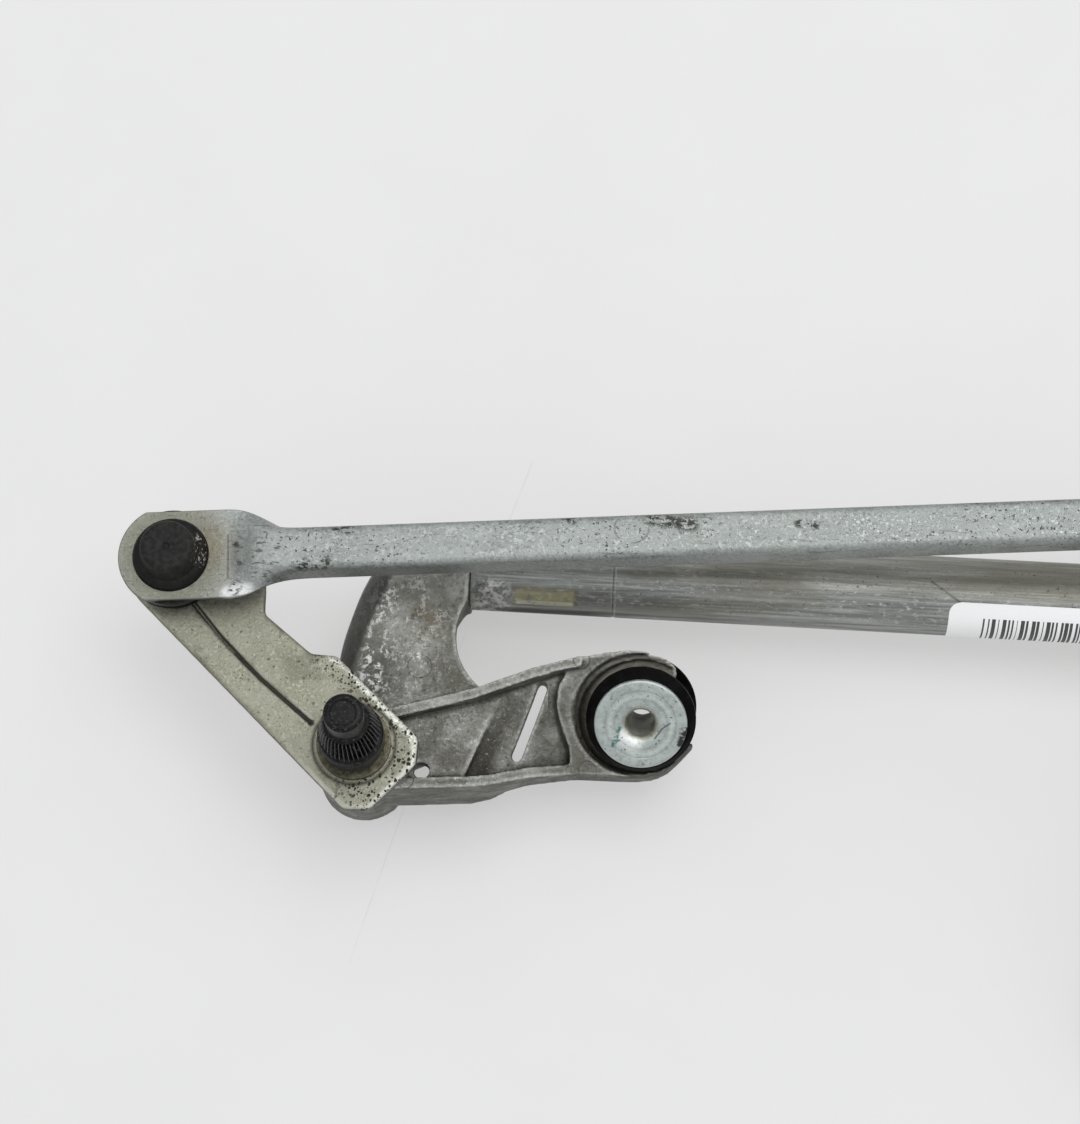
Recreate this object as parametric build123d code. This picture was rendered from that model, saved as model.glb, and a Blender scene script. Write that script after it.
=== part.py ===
from build123d import *
import os
from math import atan2, cos, pi, radians, sin, tan

os.makedirs("parts", exist_ok=True)

# The frame: Z runs up the left spindle, Z = 0 is the foot of its plain end,
# and X runs along the frame tube. All sizes are in millimetres.

# Linkage
LEVER_LENGTH = 64.1
LEVER_REST = 138.5
LEVER_SWEEP = 86.2
LINK_SLOPE = 5.4
DRAG_LINK_LENGTH = 360.0
DRIVE_ARM = 45.0
DRIVE_LINK_LENGTH = 110.0
CRANK_RADIUS = DRIVE_ARM * sin(radians(LEVER_SWEEP / 2))


def polar(radius, angle, centre=(0.0, 0.0)):
    """The point at a radius and an angle in degrees about a centre."""
    return centre[0] + radius * cos(radians(angle)), centre[1] + radius * sin(radians(angle))


LEFT = (0.0, 0.0)
RIGHT = polar(DRAG_LINK_LENGTH, LINK_SLOPE, LEFT)
LEFT_BALL = polar(LEVER_LENGTH, LEVER_REST, LEFT)
RIGHT_BALL = polar(LEVER_LENGTH, LEVER_REST, RIGHT)
DRIVE_BALL = polar(DRIVE_ARM, LEVER_REST + 180, RIGHT)
CRANK = polar(-(DRIVE_LINK_LENGTH + CRANK_RADIUS), LINK_SLOPE, DRIVE_BALL)
CRANK_PIN = polar(CRANK_RADIUS, LINK_SLOPE, CRANK)

# Heights of the linkage
PLAIN_END_TOP, KNURL_FOOT, COLLAR_FOOT = 8.0, -10.5, -16.5
LEVER_TOP, LEVER_FOOT = -21.0, -24.0
HOUSING_TOP = -26.0
LEFT_BOSS_FOOT, RIGHT_BOSS_FOOT = -55.0, -59.5
LINK_TOP, LINK_FOOT, END_PLATE_TOP = -8.5, -16.5, -11.0
RAISED_PLATE_TOP = -5.0
PLATE_REACH, PLATE_R, PLATE_HALF = 13.9, 13.0, 11.4
SHEET = 1.6

# Ball joints
BALL_R, BALL_Z = 6.0, -11.0
CRANK_BALL_Z = -14.5
BALL_CLEARANCE = 0.06
BOOT_R = 12.2
PLATE_HOLE_R = 9.2

# Spindles
PLAIN_END_R, KNURL_TOP_R, KNURL_FOOT_R, COLLAR_R = 4.8, 5.9, 7.5, 8.0
SPINDLE_R, SEAT_R, BUSH_R = 5.0, 6.5, 7.0
RUNNING = 0.05
KNURL_TEETH = 40

# Frame
TUBE_R, TUBE_WALL = 10.0, 1.5
TUBE_Y, TUBE_Z = 52.6, -42.0
TUBE_LEFT, TUBE_RIGHT = 24.1, 326.0
SPIGOT_LENGTH = 36.3
DENT_ANGLE = 52.0
BOSS_R = 11.3

# Left mounting eye: its web is square to the sleeve, which leans from the spindle
EYE = (69.2, 13.4, -29.4)
EYE_LEAN = 36.0
EYE_WEB = 6.0
RECESS, RECESS_R, LEDGE_R = (68.6, 13.4), 16.2, 14.8
LEDGE_DEPTH, RECESS_DEPTH = 1.3, 3.0
GROOVE_R, RING_R, RING_GAP = 11.0, 13.5, 0.5
SLEEVE_BORE_R, SLEEVE_R = 3.4, 5.0
WASHER_R, WASHER_T = 11.4, 1.5
FLARE = 2.0
SLEEVE_TOP, SLEEVE_FOOT = 6.4, -10.0

# Plain upright mountings on the right housing and the motor bracket
RIGHT_EYE = (RIGHT[0] + 57.0, RIGHT[1] - 9.0)
MOTOR_EYE = (202.5, -42.5)
RIGHT_WEB = (-39.0, -32.0)
EYE_BORE, GROMMET_R = 13.4, 14.7

# Gearbox and motor
MODULE, WHEEL_TEETH = 1.0, 60
WHEEL_R, WORM_R = MODULE * WHEEL_TEETH / 2, 5.0
ADDENDUM, DEDENDUM = 1.0, 1.35
WORM_LEAD = pi * MODULE
WORM_TURNS = 8.5
AXIS_Y = CRANK[1] - WHEEL_R - WORM_R
AXIS_Z = -38.5
WHEEL_FOOT, WHEEL_TOP = -43.0, -34.0
CASE_R, CASE_FOOT, CASE_TOP = 37.0, -51.0, -30.2
COVER_T = 2.0
CAVITY_R, CAVITY_TOP = 32.0, -33.2
SHAFT_R = 4.0
TUNNEL_R, TUNNEL_BORE_R = 9.0, 7.0
CAN_R, CAN_WALL = 23.5, 1.6
FACE_X = 298.0
CAN_LENGTH = 74.0
ARM_FOOT, ARM_TOP = -27.5, -23.5
BRACKET_FOOT, BRACKET_T = -33.0, 2.5
MOTOR_WEB = (BRACKET_FOOT, BRACKET_FOOT + BRACKET_T)
LUG_RING, LUG_ANGLES = 43.0, (45, 135, 200)
COVER_SCREW_RING, COVER_SCREW_ANGLES = 34.5, (20, 90, 160, 215, 325)
EAR_REACH = 27.5
CORE = (322.0, 356.0)
CORE_R, SLOTS = 16.9, 10
CONNECTOR = (234.0, -76.0), (262.0, -57.5)
CONNECTOR_TOP = -33.0


def upright(radius, foot, top, centre=(0.0, 0.0)):
    """A cylinder about a vertical axis between two heights."""
    return Pos(centre[0], centre[1], (foot + top) / 2) * Cylinder(radius, top - foot)


def upright_ring(outer, inner, foot, top, centre=(0.0, 0.0)):
    """A ring about a vertical axis between two heights."""
    return upright(outer, foot, top, centre) - upright(inner, foot - 1, top + 1, centre)


def along_x(radius, start, end, y=TUBE_Y, z=TUBE_Z):
    """A cylinder along X."""
    return Pos((start + end) / 2, y, z) * Rot(0, 90, 0) * Cylinder(radius, end - start)


def motor_bar(radius, start, end):
    """A cylinder along the armature's axis."""
    return along_x(radius, start, end, AXIS_Y, AXIS_Z)


def block(low, high):
    """A box between its two corners."""
    size = [b - a for a, b in zip(low, high)]
    return Pos(*[(a + b) / 2 for a, b in zip(low, high)]) * Box(*size)


def turned(points, centre=(0.0, 0.0)):
    """A solid of revolution about a vertical axis, from (radius, height) points."""
    profile = Plane.XZ * make_face(Polyline(*points, close=True))
    return Pos(centre[0], centre[1], 0) * revolve(profile, Axis.Z)


def plate(face, foot, top):
    """A flat outline raised between two heights."""
    return extrude(Pos(0, 0, foot) * face, top - foot)


def hull_of(*circles):
    """The outline drawn round circles given as (x, y, radius)."""
    edges = []
    for x, y, radius in circles:
        edges += (Pos(x, y) * Circle(radius)).edges()
    return make_hull(edges)


def save(node, shape):
    """Writes one sub-part to its own file."""
    solids = shape.solids()
    export_step(solids[0] if len(solids) == 1 else Compound(solids), f"parts/{node}.step")


# Spindles

def knurl(top_r, foot_r, depth, top, foot, centre):
    """A straight-toothed cone: a star outline that widens downwards."""
    def star(radius, z):
        points = []
        for i in range(2 * KNURL_TEETH):
            r = radius if i % 2 == 0 else radius - depth
            points.append(polar(r, i * 180 / KNURL_TEETH, centre))
        return Pos(0, 0, z) * make_face(Polyline(*points, close=True))

    return loft([star(foot_r, foot), star(top_r, top)], ruled=True)


def spindle(centre, foot):
    """A turned spindle: plain end, knurled cone, collar, lever seat and long journal."""
    rim = 0.5
    groove_top = foot + 2.1
    profile = [
        (0, foot), (SPINDLE_R - 0.6, foot), (SPINDLE_R, foot + 0.6), (SPINDLE_R, groove_top - 1.1),
        (4.2, groove_top - 1.1), (4.2, groove_top), (SPINDLE_R, groove_top), (SPINDLE_R, LEVER_FOOT),
        (SEAT_R, LEVER_FOOT), (SEAT_R, COLLAR_FOOT), (COLLAR_R - 0.5, COLLAR_FOOT),
        (COLLAR_R, COLLAR_FOOT + 0.5), (COLLAR_R, KNURL_FOOT - 0.6), (COLLAR_R - 0.6, KNURL_FOOT),
        (5.2, KNURL_FOOT), (5.0, 0), (PLAIN_END_R, 0), (PLAIN_END_R, PLAIN_END_TOP - rim),
        (PLAIN_END_R - rim, PLAIN_END_TOP), (PLAIN_END_R - 1.2, PLAIN_END_TOP),
        (PLAIN_END_R - 1.5, PLAIN_END_TOP - 0.4), (0, PLAIN_END_TOP - 0.4),
    ]
    cone = knurl(KNURL_TOP_R, KNURL_FOOT_R, 0.55, 0, KNURL_FOOT, centre)
    return turned(profile, centre) + cone


def retaining_clip(centre, foot):
    """An open clip sprung into the groove at the spindle's foot."""
    ring = upright_ring(7.6, 4.2, foot + 1.05, foot + 2.05, centre)
    gap = block((centre[0], centre[1] - 2.2, foot), (centre[0] + 9, centre[1] + 2.2, foot + 3))
    return ring - gap


def spindle_bushes(centre, boss_foot):
    """Two sintered bushes, one at each end of the boss."""
    inner = SPINDLE_R + RUNNING
    upper = upright_ring(BUSH_R, inner, HOUSING_TOP - 10, HOUSING_TOP, centre)
    lower = upright_ring(BUSH_R, inner, boss_foot, boss_foot + 10, centre)
    return Compound([upper, lower])


# Ball joints

def ball_stud(centre, arm_foot, arm_top, ball_z):
    """A riveted stud with a ball on top: head, shank, flange, neck and ball."""
    neck = 3.6
    profile = [
        (0, arm_foot - 1.5), (4.6, arm_foot - 1.5), (5.5, arm_foot - 0.6), (5.5, arm_foot),
        (4.0, arm_foot), (4.0, arm_top), (6.5, arm_top), (6.5, arm_top + 0.9),
        (6.0, arm_top + 1.4), (neck, arm_top + 1.4), (neck, ball_z), (0, ball_z),
    ]
    return turned(profile, centre) + Pos(centre[0], centre[1], ball_z) * Sphere(BALL_R)


def socket(centre):
    """The plastic cup pressed up through the link's end plate, closed on top by its cap."""
    flange_foot, flange_top = -15.0, END_PLATE_TOP - SHEET
    profile = [
        (0, flange_foot), (BOOT_R - 0.4, flange_foot), (BOOT_R, flange_foot + 0.5), (BOOT_R, flange_top),
        (PLATE_HOLE_R, flange_top), (PLATE_HOLE_R, END_PLATE_TOP + 0.2), (8.5, END_PLATE_TOP + 1.0),
        (8.0, END_PLATE_TOP + 1.0), (7.3, END_PLATE_TOP + 2.4), (6.8, -4.6), (6.0, -3.6),
        (5.4, -3.4), (1.3, -3.3), (0.9, -3.9), (0, -3.9),
    ]
    cup = turned(profile, centre) - Pos(centre[0], centre[1], BALL_Z) * Sphere(BALL_R + BALL_CLEARANCE)
    return cup - upright(4.5, -16, BALL_Z, centre)


def boot(centre):
    """The rubber skirt that keeps dirt out of the joint."""
    return turned([
        (4.1, -19.2), (9.4, -19.2), (BOOT_R, -16.2), (BOOT_R, -15.0), (7.6, -15.0), (7.6, -16.4), (4.1, -18.4),
    ], centre)


def crank_socket():
    """The cup on the crank's ball, with a plain top under the drive link's raised end."""
    top = RAISED_PLATE_TOP - SHEET - 0.3
    profile = [
        (0, -18.6), (8.6, -18.6), (9.0, -18.2), (9.0, top - 1.2), (7.8, top), (0, top),
    ]
    cup = turned(profile, CRANK_PIN)
    cup -= Pos(CRANK_PIN[0], CRANK_PIN[1], CRANK_BALL_Z) * Sphere(BALL_R + BALL_CLEARANCE)
    return cup - upright(4.5, -19, CRANK_BALL_Z, CRANK_PIN)


def crank_boot():
    """The short rubber skirt under the crank's cup."""
    return turned([
        (4.1, -21.7), (7.4, -21.7), (9.0, -19.6), (9.0, -18.6), (6.8, -18.6), (6.8, -19.4), (4.1, -21.0),
    ], CRANK_PIN)


# Levers

def lever_ring(centre):
    """The swaged ring that stands round the spindle on the lever."""
    return upright_ring(9.1, SEAT_R, LEVER_TOP, LEVER_TOP + 1.5, centre)


def left_lever():
    """The pressed lever: wide at the ball, narrow at the waist and squared off round the spindle."""
    corners = [
        (-1.3, -16.3), (5.2, -15.9), (15.4, -4.2), (15.6, 2.6), (-6.2, 22.2), (-12.6, 22.4),
        (-25.1, 32.0), (-26.0, 48.0), (-46.0, 54.4), (-56.1, 33.5),
    ]
    outline = make_face(Polyline(*corners, close=True))
    soft = outline.vertices().filter_by(lambda v: -40 < v.X)
    outline = fillet(soft, 2.8) + Pos(*LEFT_BALL) * Circle(12.1)
    body = plate(outline, LEVER_FOOT, LEVER_TOP)
    top_edges = body.edges().filter_by(lambda e: abs(e.center().Z - LEVER_TOP) < 0.01)
    body = fillet(top_edges, 0.9)
    crease = Polyline((-46.6, 37.6), (-35.4, 25.2), (-24.5, 15.3), (-10.9, 4.65))
    body -= plate(trace(crease, 1.0), LEVER_TOP - 0.7, LEVER_TOP + 1)
    body -= upright(SEAT_R, LEVER_FOOT - 1, LEVER_TOP + 1, LEFT)
    return body - upright(4.0, LEVER_FOOT - 1, LEVER_TOP + 1, LEFT_BALL)


def right_lever():
    """The two-armed lever: the drag link on its long arm, the drive link on its short one."""
    outline = hull_of((*RIGHT_BALL, 12.1), (*RIGHT, 15.5)) + hull_of((*RIGHT, 15.5), (*DRIVE_BALL, 11.0))
    body = plate(outline, LEVER_FOOT, LEVER_TOP)
    for centre, radius in ((RIGHT, SEAT_R), (RIGHT_BALL, 4.0), (DRIVE_BALL, 4.0)):
        body -= upright(radius, LEVER_FOOT - 1, LEVER_TOP + 1, centre)
    return body


# Links

def link_section(s, half_top, half_edge, top, edge):
    """A bent strip of sheet across the link at a distance s: flat in an end plate, a channel between."""
    flank = atan2(top - edge, half_edge - half_top) if top > edge else 0.0
    bend = 1.5
    outer = [
        (half_top - bend, top), (half_top + bend * cos(flank), top - bend * sin(flank)), (half_edge, edge),
    ]
    inward = SHEET * tan(flank / 2)
    reach = bend - inward * 0.6
    inner = [
        (half_edge - SHEET * sin(flank), edge - SHEET * cos(flank)),
        (half_top - inward + reach * cos(flank), top - SHEET - reach * sin(flank)),
        (half_top - inward - reach, top - SHEET),
    ]
    right = outer + inner
    left = [(-y, z) for y, z in reversed(right)]
    points = [(s, y, z) for y, z in right + left]
    return make_face(Polyline(*points, close=True))


def link_end(plate_top):
    """The sections from a flat end plate, by its distance from the ball, to the full channel."""
    rise = LINK_TOP - plate_top
    return [
        (PLATE_REACH, 5.4, PLATE_HALF, plate_top, plate_top),
        (19.0, 5.4, 10.8, plate_top + rise, plate_top + min(rise, 0) - 0.4),
        (24.0, 5.5, 8.4, LINK_TOP, LINK_TOP - 3.6),
        (29.0, 5.6, 6.2, LINK_TOP, LINK_TOP - 7.0),
        (34.0, 5.6, 5.6001, LINK_TOP, LINK_FOOT),
    ]


def end_plate(s, plate_top, hole):
    """The rounded end plate round a ball, on the side of the link that faces away from the channel."""
    outline = Circle(PLATE_R) & Rectangle(2 * PLATE_R, 2 * PLATE_HALF)
    outline += Pos(PLATE_REACH / 2, 0) * Rectangle(PLATE_REACH, 2 * PLATE_HALF)
    face = Pos(s, 0) * Rot(0, 0, 0 if s == 0 else 180) * outline
    body = plate(face, plate_top - SHEET, plate_top)
    return body - upright(hole, plate_top - 5, plate_top + 5, (s, 0)) if hole else body


def link(ball, length, angle, far_top, far_hole):
    """A pressed link from its near ball to its far one, at an angle in plan."""
    near, far = link_end(END_PLATE_TOP), link_end(far_top)
    rows = near + [(length - s, *rest) for s, *rest in reversed(far)]
    body = loft([link_section(*row) for row in rows], ruled=True)
    body += end_plate(0, END_PLATE_TOP, PLATE_HOLE_R)
    body += end_plate(length, far_top, far_hole)
    return Pos(ball[0], ball[1], 0) * Rot(0, 0, angle) * body


# Frame

def frame_tube():
    """The round tube, scored where the left spigot ends and dented there and at the right to lock it."""
    body = along_x(TUBE_R, TUBE_LEFT, TUBE_RIGHT) - along_x(TUBE_R - TUBE_WALL, TUBE_LEFT - 1, TUBE_RIGHT + 1)
    score = TUBE_LEFT + SPIGOT_LENGTH
    body -= along_x(TUBE_R + 1, score - 0.2, score + 0.2) - along_x(TUBE_R - 0.15, score - 1, score + 1)
    for start in (33.0, TUBE_RIGHT - 28.0):
        dent = Pos(start + 10.0, TUBE_Y, TUBE_Z) * Rot(DENT_ANGLE, 0, 0) * Pos(0, 0, TUBE_R + 0.4)
        body -= dent * Box(17, 6, 2)
    return body


def tray_section(x, near, far, near_top, far_top, near_foot):
    """A cut across the left housing's tray: a deep near wall, a floor and a far rib."""
    wall, sink, floor = 2.8, 4.4, 2.4
    return make_face(Polyline(
        (x, near, near_foot), (x, near, near_top), (x, near + wall, near_top),
        (x, near + wall, near_top - sink), (x, far - wall, far_top - sink), (x, far - wall, far_top),
        (x, far, far_top), (x, far, far_top - sink - floor),
        (x, near + wall + 0.5, near_top - sink - floor), (x, near + wall + 0.5, near_foot), close=True,
    ))


def eye_frame():
    """The plane of the left eye's web, through its middle."""
    lean = radians(EYE_LEAN)
    return Plane(origin=EYE, x_dir=(1, 0, 0), z_dir=(0, -sin(lean), cos(lean)))


def eye_ellipse(radius, centre):
    """A circle of the leaning eye as it looks from straight above."""
    return Pos(centre[0], centre[1]) * Ellipse(radius, radius * cos(radians(EYE_LEAN)))


def left_eye():
    """The open eye: walls drawn straight up, faces square to the leaning sleeve and a stepped recess for the rubber."""
    near = Spline((46, -0.4), (53.9, 0.1), (67.9, 0.4), (75.4, 2.1), (82.4, 8.4), tangents=((1, 0.1), (1, 1)))
    far = [(82.4, 8.4), (84.0, 20.0), (77.5, 23.7), (76.9, 24.8), (73.9, 26.3), (69.3, 27.2), (64.5, 27.2), (59.3, 26.4)]
    outline = make_face([near, Polyline(*far, (46, 23.7)), Line((46, 23.7), (46, -0.4))])
    outline = outline & (Pos(81.0, 13.0) * Circle(31.1))
    mouth = make_face(Polyline(EYE[:2], polar(40, -19, EYE), polar(40, 51, EYE), close=True))
    walls = plate(outline - eye_ellipse(GROOVE_R, EYE) - mouth, -60, -5)
    body = walls & (eye_frame() * Pos(0, 0, -EYE_WEB / 2) * Box(90, 90, EYE_WEB))
    for radius, depth in ((RECESS_R, LEDGE_DEPTH), (LEDGE_R, RECESS_DEPTH)):
        above = eye_frame() * Pos(0, 0, 10 - depth) * Box(90, 90, 20)
        body -= plate(eye_ellipse(radius, RECESS), -60, -5) & above
    return body - (eye_frame() * Pos(70 - EYE[0] + 20, 0, 9.2) * Box(40, 90, 20))


def left_arm():
    """The elbow that carries the tube, with a soft outer shoulder and the spigot inside the tube."""
    notch = ThreePointArc((24.1, 41.6), (21.9, 31.5), (29.0, 19.0))
    outline = make_face([
        Line((24.1, 62.4), (24.1, 41.6)), notch, Line((29.0, 19.0), (26.0, 8.0)),
        Line((26.0, 8.0), (0.0, -4.0)), Line((0.0, -4.0), (-8.5, 6.0)), Line((-8.5, 6.0), (-7.6, 25.0)),
        Spline((-7.6, 25.0), (-5.2, 38.0), (1.0, 52.5), (10.5, 60.4), (24.1, 62.4), tangents=((0.05, 1), (1, 0))),
    ])
    body = plate(outline, -52.0, -31.6)
    shoulder = body.edges().filter_by(GeomType.BSPLINE).sort_by(Axis.Z)[-1]
    body = fillet(shoulder, 8.0)
    body -= left_undercut()
    return body + along_x(TUBE_R - TUBE_WALL, 20, TUBE_LEFT + SPIGOT_LENGTH)


def left_undercut():
    """The hollow under the elbow's inner edge, which leaves its wall as thin as the tray's floor."""
    arc = ThreePointArc((22.9, 43.9), (19.0, 32.0), (26.0, 18.0))
    sides = Polyline((26.0, 18.0), (40, 18.0), (40, 43.9), (22.9, 43.9))
    return plate(make_face([arc, sides]), -53.0, -35.0)


def left_floor_step():
    """The raised part of the tray's floor, from the boss to a slanting step."""
    outline = Polyline((6, -5.5), (26.5, -4.4), (34.6, 17.6), (28, 16.0), (6, 9.5), close=True)
    return plate(make_face(outline), -34.6, -30.9)


def left_housing():
    """The die-cast left housing: boss, tray, open eye and elbow in one piece."""
    sections = [
        tray_section(4, -9.3, 10.5, -28.0, -28.0, -47.0),
        tray_section(28, -7.2, 17.8, -28.6, -27.4, -47.0),
        tray_section(33, -6.0, 19.6, -30.4, -26.0, -46.0),
        tray_section(37, -4.5, 20.9, -32.2, -24.9, -42.4),
        tray_section(42, -2.7, 22.6, -34.4, -23.4, -43.0),
        tray_section(54, 0.1, 25.6, -39.1, -20.6, -45.4),
    ]
    body = loft(sections, ruled=True) + left_arm() + upright(BOSS_R, LEFT_BOSS_FOOT, HOUSING_TOP, LEFT)
    body = body - plate(eye_ellipse(RECESS_R + 1.5, RECESS), -60, -5) + left_eye()
    body -= upright(BUSH_R, LEFT_BOSS_FOOT - 1, HOUSING_TOP + 1, LEFT)
    for low, high in ((-RECESS_DEPTH, 14), (-EYE_WEB - 12, -EYE_WEB)):
        middle = eye_frame() * Pos(0, 0, (low + high) / 2)
        body -= middle * Cylinder(RING_R + RING_GAP, high - low)
    body += left_floor_step() - upright(BUSH_R, -60, -20, LEFT)
    body -= upright(2.0, -60, -20, (16.0, -3.1))
    slot_ends = ((44.5, 18.9), (38.8, 2.9))
    return body - plate(hull_of(*[(*end, 1.15) for end in slot_ends]), -60, -15)


def leaning_turned(points):
    """A solid of revolution about the left sleeve's axis, from (radius, distance from the eye's middle) points."""
    frame = eye_frame()
    return frame.location * revolve(Plane.XZ * make_face(Polyline(*points, close=True)), Axis.Z)


def left_grommet():
    """The rubber ring in the open eye: a groove that grips the web between a tall ring and a lower one."""
    groove = plate(eye_ellipse(GROOVE_R, EYE), -60, -5)
    groove = groove & (eye_frame() * Pos(0, 0, -EYE_WEB / 2) * Box(90, 90, EYE_WEB))
    top = SLEEVE_TOP - WASHER_T
    ring = leaning_turned([(0, -RECESS_DEPTH), (RING_R - 1.7, -RECESS_DEPTH), (RING_R, top - 3.2), (RING_R, top - 1.9),
                           (RING_R - 1.2, top - 0.6), (WASHER_R - 0.4, top), (0, top)])
    under = leaning_turned([(0, -EYE_WEB - 3.2), (RING_R - 1.6, -EYE_WEB - 3.2), (RING_R, -EYE_WEB - 1.0),
                            (RING_R, -EYE_WEB), (0, -EYE_WEB)])
    return groove + ring + under - eye_frame() * Cylinder(SLEEVE_R, 60)


def left_sleeve():
    """The flanged steel sleeve that the fixing screw passes through, flared where it meets its flange."""
    foot, top = SLEEVE_FOOT, SLEEVE_TOP
    return leaning_turned([
        (SLEEVE_BORE_R, foot), (SLEEVE_R, foot), (SLEEVE_R, top - WASHER_T), (WASHER_R, top - WASHER_T),
        (WASHER_R, top - 0.3), (WASHER_R - 0.3, top), (SLEEVE_BORE_R + FLARE + 0.8, top),
        (SLEEVE_BORE_R + FLARE * 0.6, top - 0.25), (SLEEVE_BORE_R + FLARE * 0.25, top - FLARE * 0.45),
        (SLEEVE_BORE_R, top - FLARE),
    ])


def upright_grommet(centre, web_foot, web_top, waist, flange):
    """A plain rubber ring in an upright eye."""
    body = upright(waist, web_foot, web_top, centre)
    body += upright(flange, web_top, web_top + 3.5, centre) + upright(flange, web_foot - 3.5, web_foot, centre)
    return body - upright(SLEEVE_R, -90, 20, centre)


def upright_sleeve(centre, web_foot, web_top, washer):
    """A flanged sleeve in an upright grommet."""
    foot, top = web_foot - 4.3, web_top + 3.5 + WASHER_T
    body = upright(SLEEVE_R, foot, top, centre) + upright(washer, top - WASHER_T, top, centre)
    return body - upright(SLEEVE_BORE_R, foot - 1, top + 1, centre)


def right_housing():
    """The die-cast right housing: boss, elbow to the tube's right end and a ribbed arm to its eye."""
    block_outline = make_face(Polyline(
        (TUBE_RIGHT, TUBE_Y - TUBE_R), (TUBE_RIGHT, TUBE_Y + TUBE_R), (RIGHT[0] - 12, TUBE_Y + TUBE_R),
        (RIGHT[0] + 4, TUBE_Y + 3), (RIGHT[0] + 11, RIGHT[1]), (RIGHT[0], RIGHT[1] - 11),
        (RIGHT[0] - 11, RIGHT[1]), (RIGHT[0] - 16, TUBE_Y - TUBE_R), close=True,
    ))
    body = plate(block_outline, -52, -31.6)
    body += upright(BOSS_R, RIGHT_BOSS_FOOT, HOUSING_TOP, RIGHT)
    body += along_x(TUBE_R - TUBE_WALL, TUBE_RIGHT - SPIGOT_LENGTH, TUBE_RIGHT + 4)
    web = hull_of((*RIGHT, 11.0), (*RIGHT_EYE, 17.0))
    pocket = hull_of((RIGHT[0] + 16.5, RIGHT[1] - 2.5, 6.5), (RIGHT_EYE[0] - 27.5, RIGHT_EYE[1] + 4.3, 8.5))
    body += plate(web, *RIGHT_WEB) - plate(pocket, RIGHT_WEB[0] + 3, RIGHT_WEB[1] + 1)
    body -= upright(EYE_BORE, -90, 20, RIGHT_EYE)
    return body - upright(BUSH_R, RIGHT_BOSS_FOOT - 1, HOUSING_TOP + 1, RIGHT)


# Motor bracket

def motor_bracket():
    """The steel plate welded to the tube by its saddle, screwed to the gear case and ending in the third eye."""
    foot, top = MOTOR_WEB
    band = make_face(Polyline(CRANK, *[polar(70, a, CRANK) for a in range(20, 201, 30)], close=True))
    arc = (Pos(*CRANK) * (Circle(LUG_RING + 6.5) - Circle(CASE_R + 0.8))) & band
    lugs = [(*polar(LUG_RING, a, CRANK), 6.5) for a in LUG_ANGLES]
    outline = arc + hull_of(lugs[2], (*MOTOR_EYE, 13.0))
    for x, y, r in lugs:
        outline += Pos(x, y) * Circle(r)
    outline += Pos(CRANK[0], 39) * Rectangle(55, 18)
    outline -= Pos(*CRANK) * Circle(CASE_R + 0.8)
    body = plate(outline, foot, top)
    saddle_start, saddle_end = CRANK[0] - 27.5, CRANK[0] + 27.5
    saddle = along_x(TUBE_R + BRACKET_T, saddle_start, saddle_end)
    saddle -= block((saddle_start - 1, 0, -80), (saddle_end + 1, 90, TUBE_Z))
    body = body + saddle - along_x(TUBE_R, saddle_start - 1, saddle_end + 1)
    body -= upright(8.0, foot - 1, top + 1, MOTOR_EYE)
    for x, y, _ in lugs:
        body -= upright(3.3, foot - 1, top + 1, (x, y))
    return body


def bracket_screws():
    """Three low-headed screws through the bracket into the gear case's lugs."""
    foot, top = MOTOR_WEB
    screws = []
    for angle in LUG_ANGLES:
        centre = polar(LUG_RING, angle, CRANK)
        head = upright(5.2, top, top + 2.2, centre)
        recess = Pos(centre[0], centre[1], top + 1.6) * extrude(RegularPolygon(2.3, 6), 2)
        screws.append(head + upright(3.0, foot - 4, top, centre) - recess)
    return Compound(screws)


# Gearbox

def gear_case():
    """The die-cast gear case: wheel chamber, worm tunnel, motor face and lugs."""
    ears = [(AXIS_Y + side * EAR_REACH, AXIS_Z) for side in (-1, 1)]
    body = upright(CASE_R, CASE_FOOT, CASE_TOP, CRANK) + motor_bar(TUNNEL_R, 219, FACE_X)
    body += motor_bar(CAN_R, FACE_X - 6, FACE_X)
    for y, z in ears:
        body += along_x(6.0, FACE_X - 8, FACE_X, y, z)
        body += block((FACE_X - 8, min(y, AXIS_Y), z - 5), (FACE_X, max(y, AXIS_Y), z + 5))
    for angle in LUG_ANGLES:
        ends = (*polar(30, angle, CRANK), 6.5), (*polar(LUG_RING, angle, CRANK), 6.5)
        body += plate(hull_of(*ends), BRACKET_FOOT - 4.5, BRACKET_FOOT)
    body += upright(9.5, CASE_TOP, CASE_TOP + 1.6, CRANK)
    body -= upright(CAVITY_R, CASE_FOOT - 1, CAVITY_TOP, CRANK)
    body += upright(9.0, -35.6, CAVITY_TOP, CRANK)
    body -= upright(6.5, -60, -20, CRANK)
    body -= motor_bar(TUNNEL_BORE_R, 228, FACE_X + 1)
    body -= motor_bar(6.5, 221.5, 229)
    body -= motor_bar(CAN_R - CAN_WALL - 2, FACE_X - 3, FACE_X + 1)
    for y, z in ears:
        body -= along_x(2.5, FACE_X - 9, FACE_X + 1, y, z)
    for angle in LUG_ANGLES:
        body -= upright(3.0, BRACKET_FOOT - 5, BRACKET_FOOT + 1, polar(LUG_RING, angle, CRANK))
    for angle in COVER_SCREW_ANGLES:
        body -= upright(1.9, CASE_FOOT - 1, CASE_FOOT + 8, polar(COVER_SCREW_RING, angle, CRANK))
    return body


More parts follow.
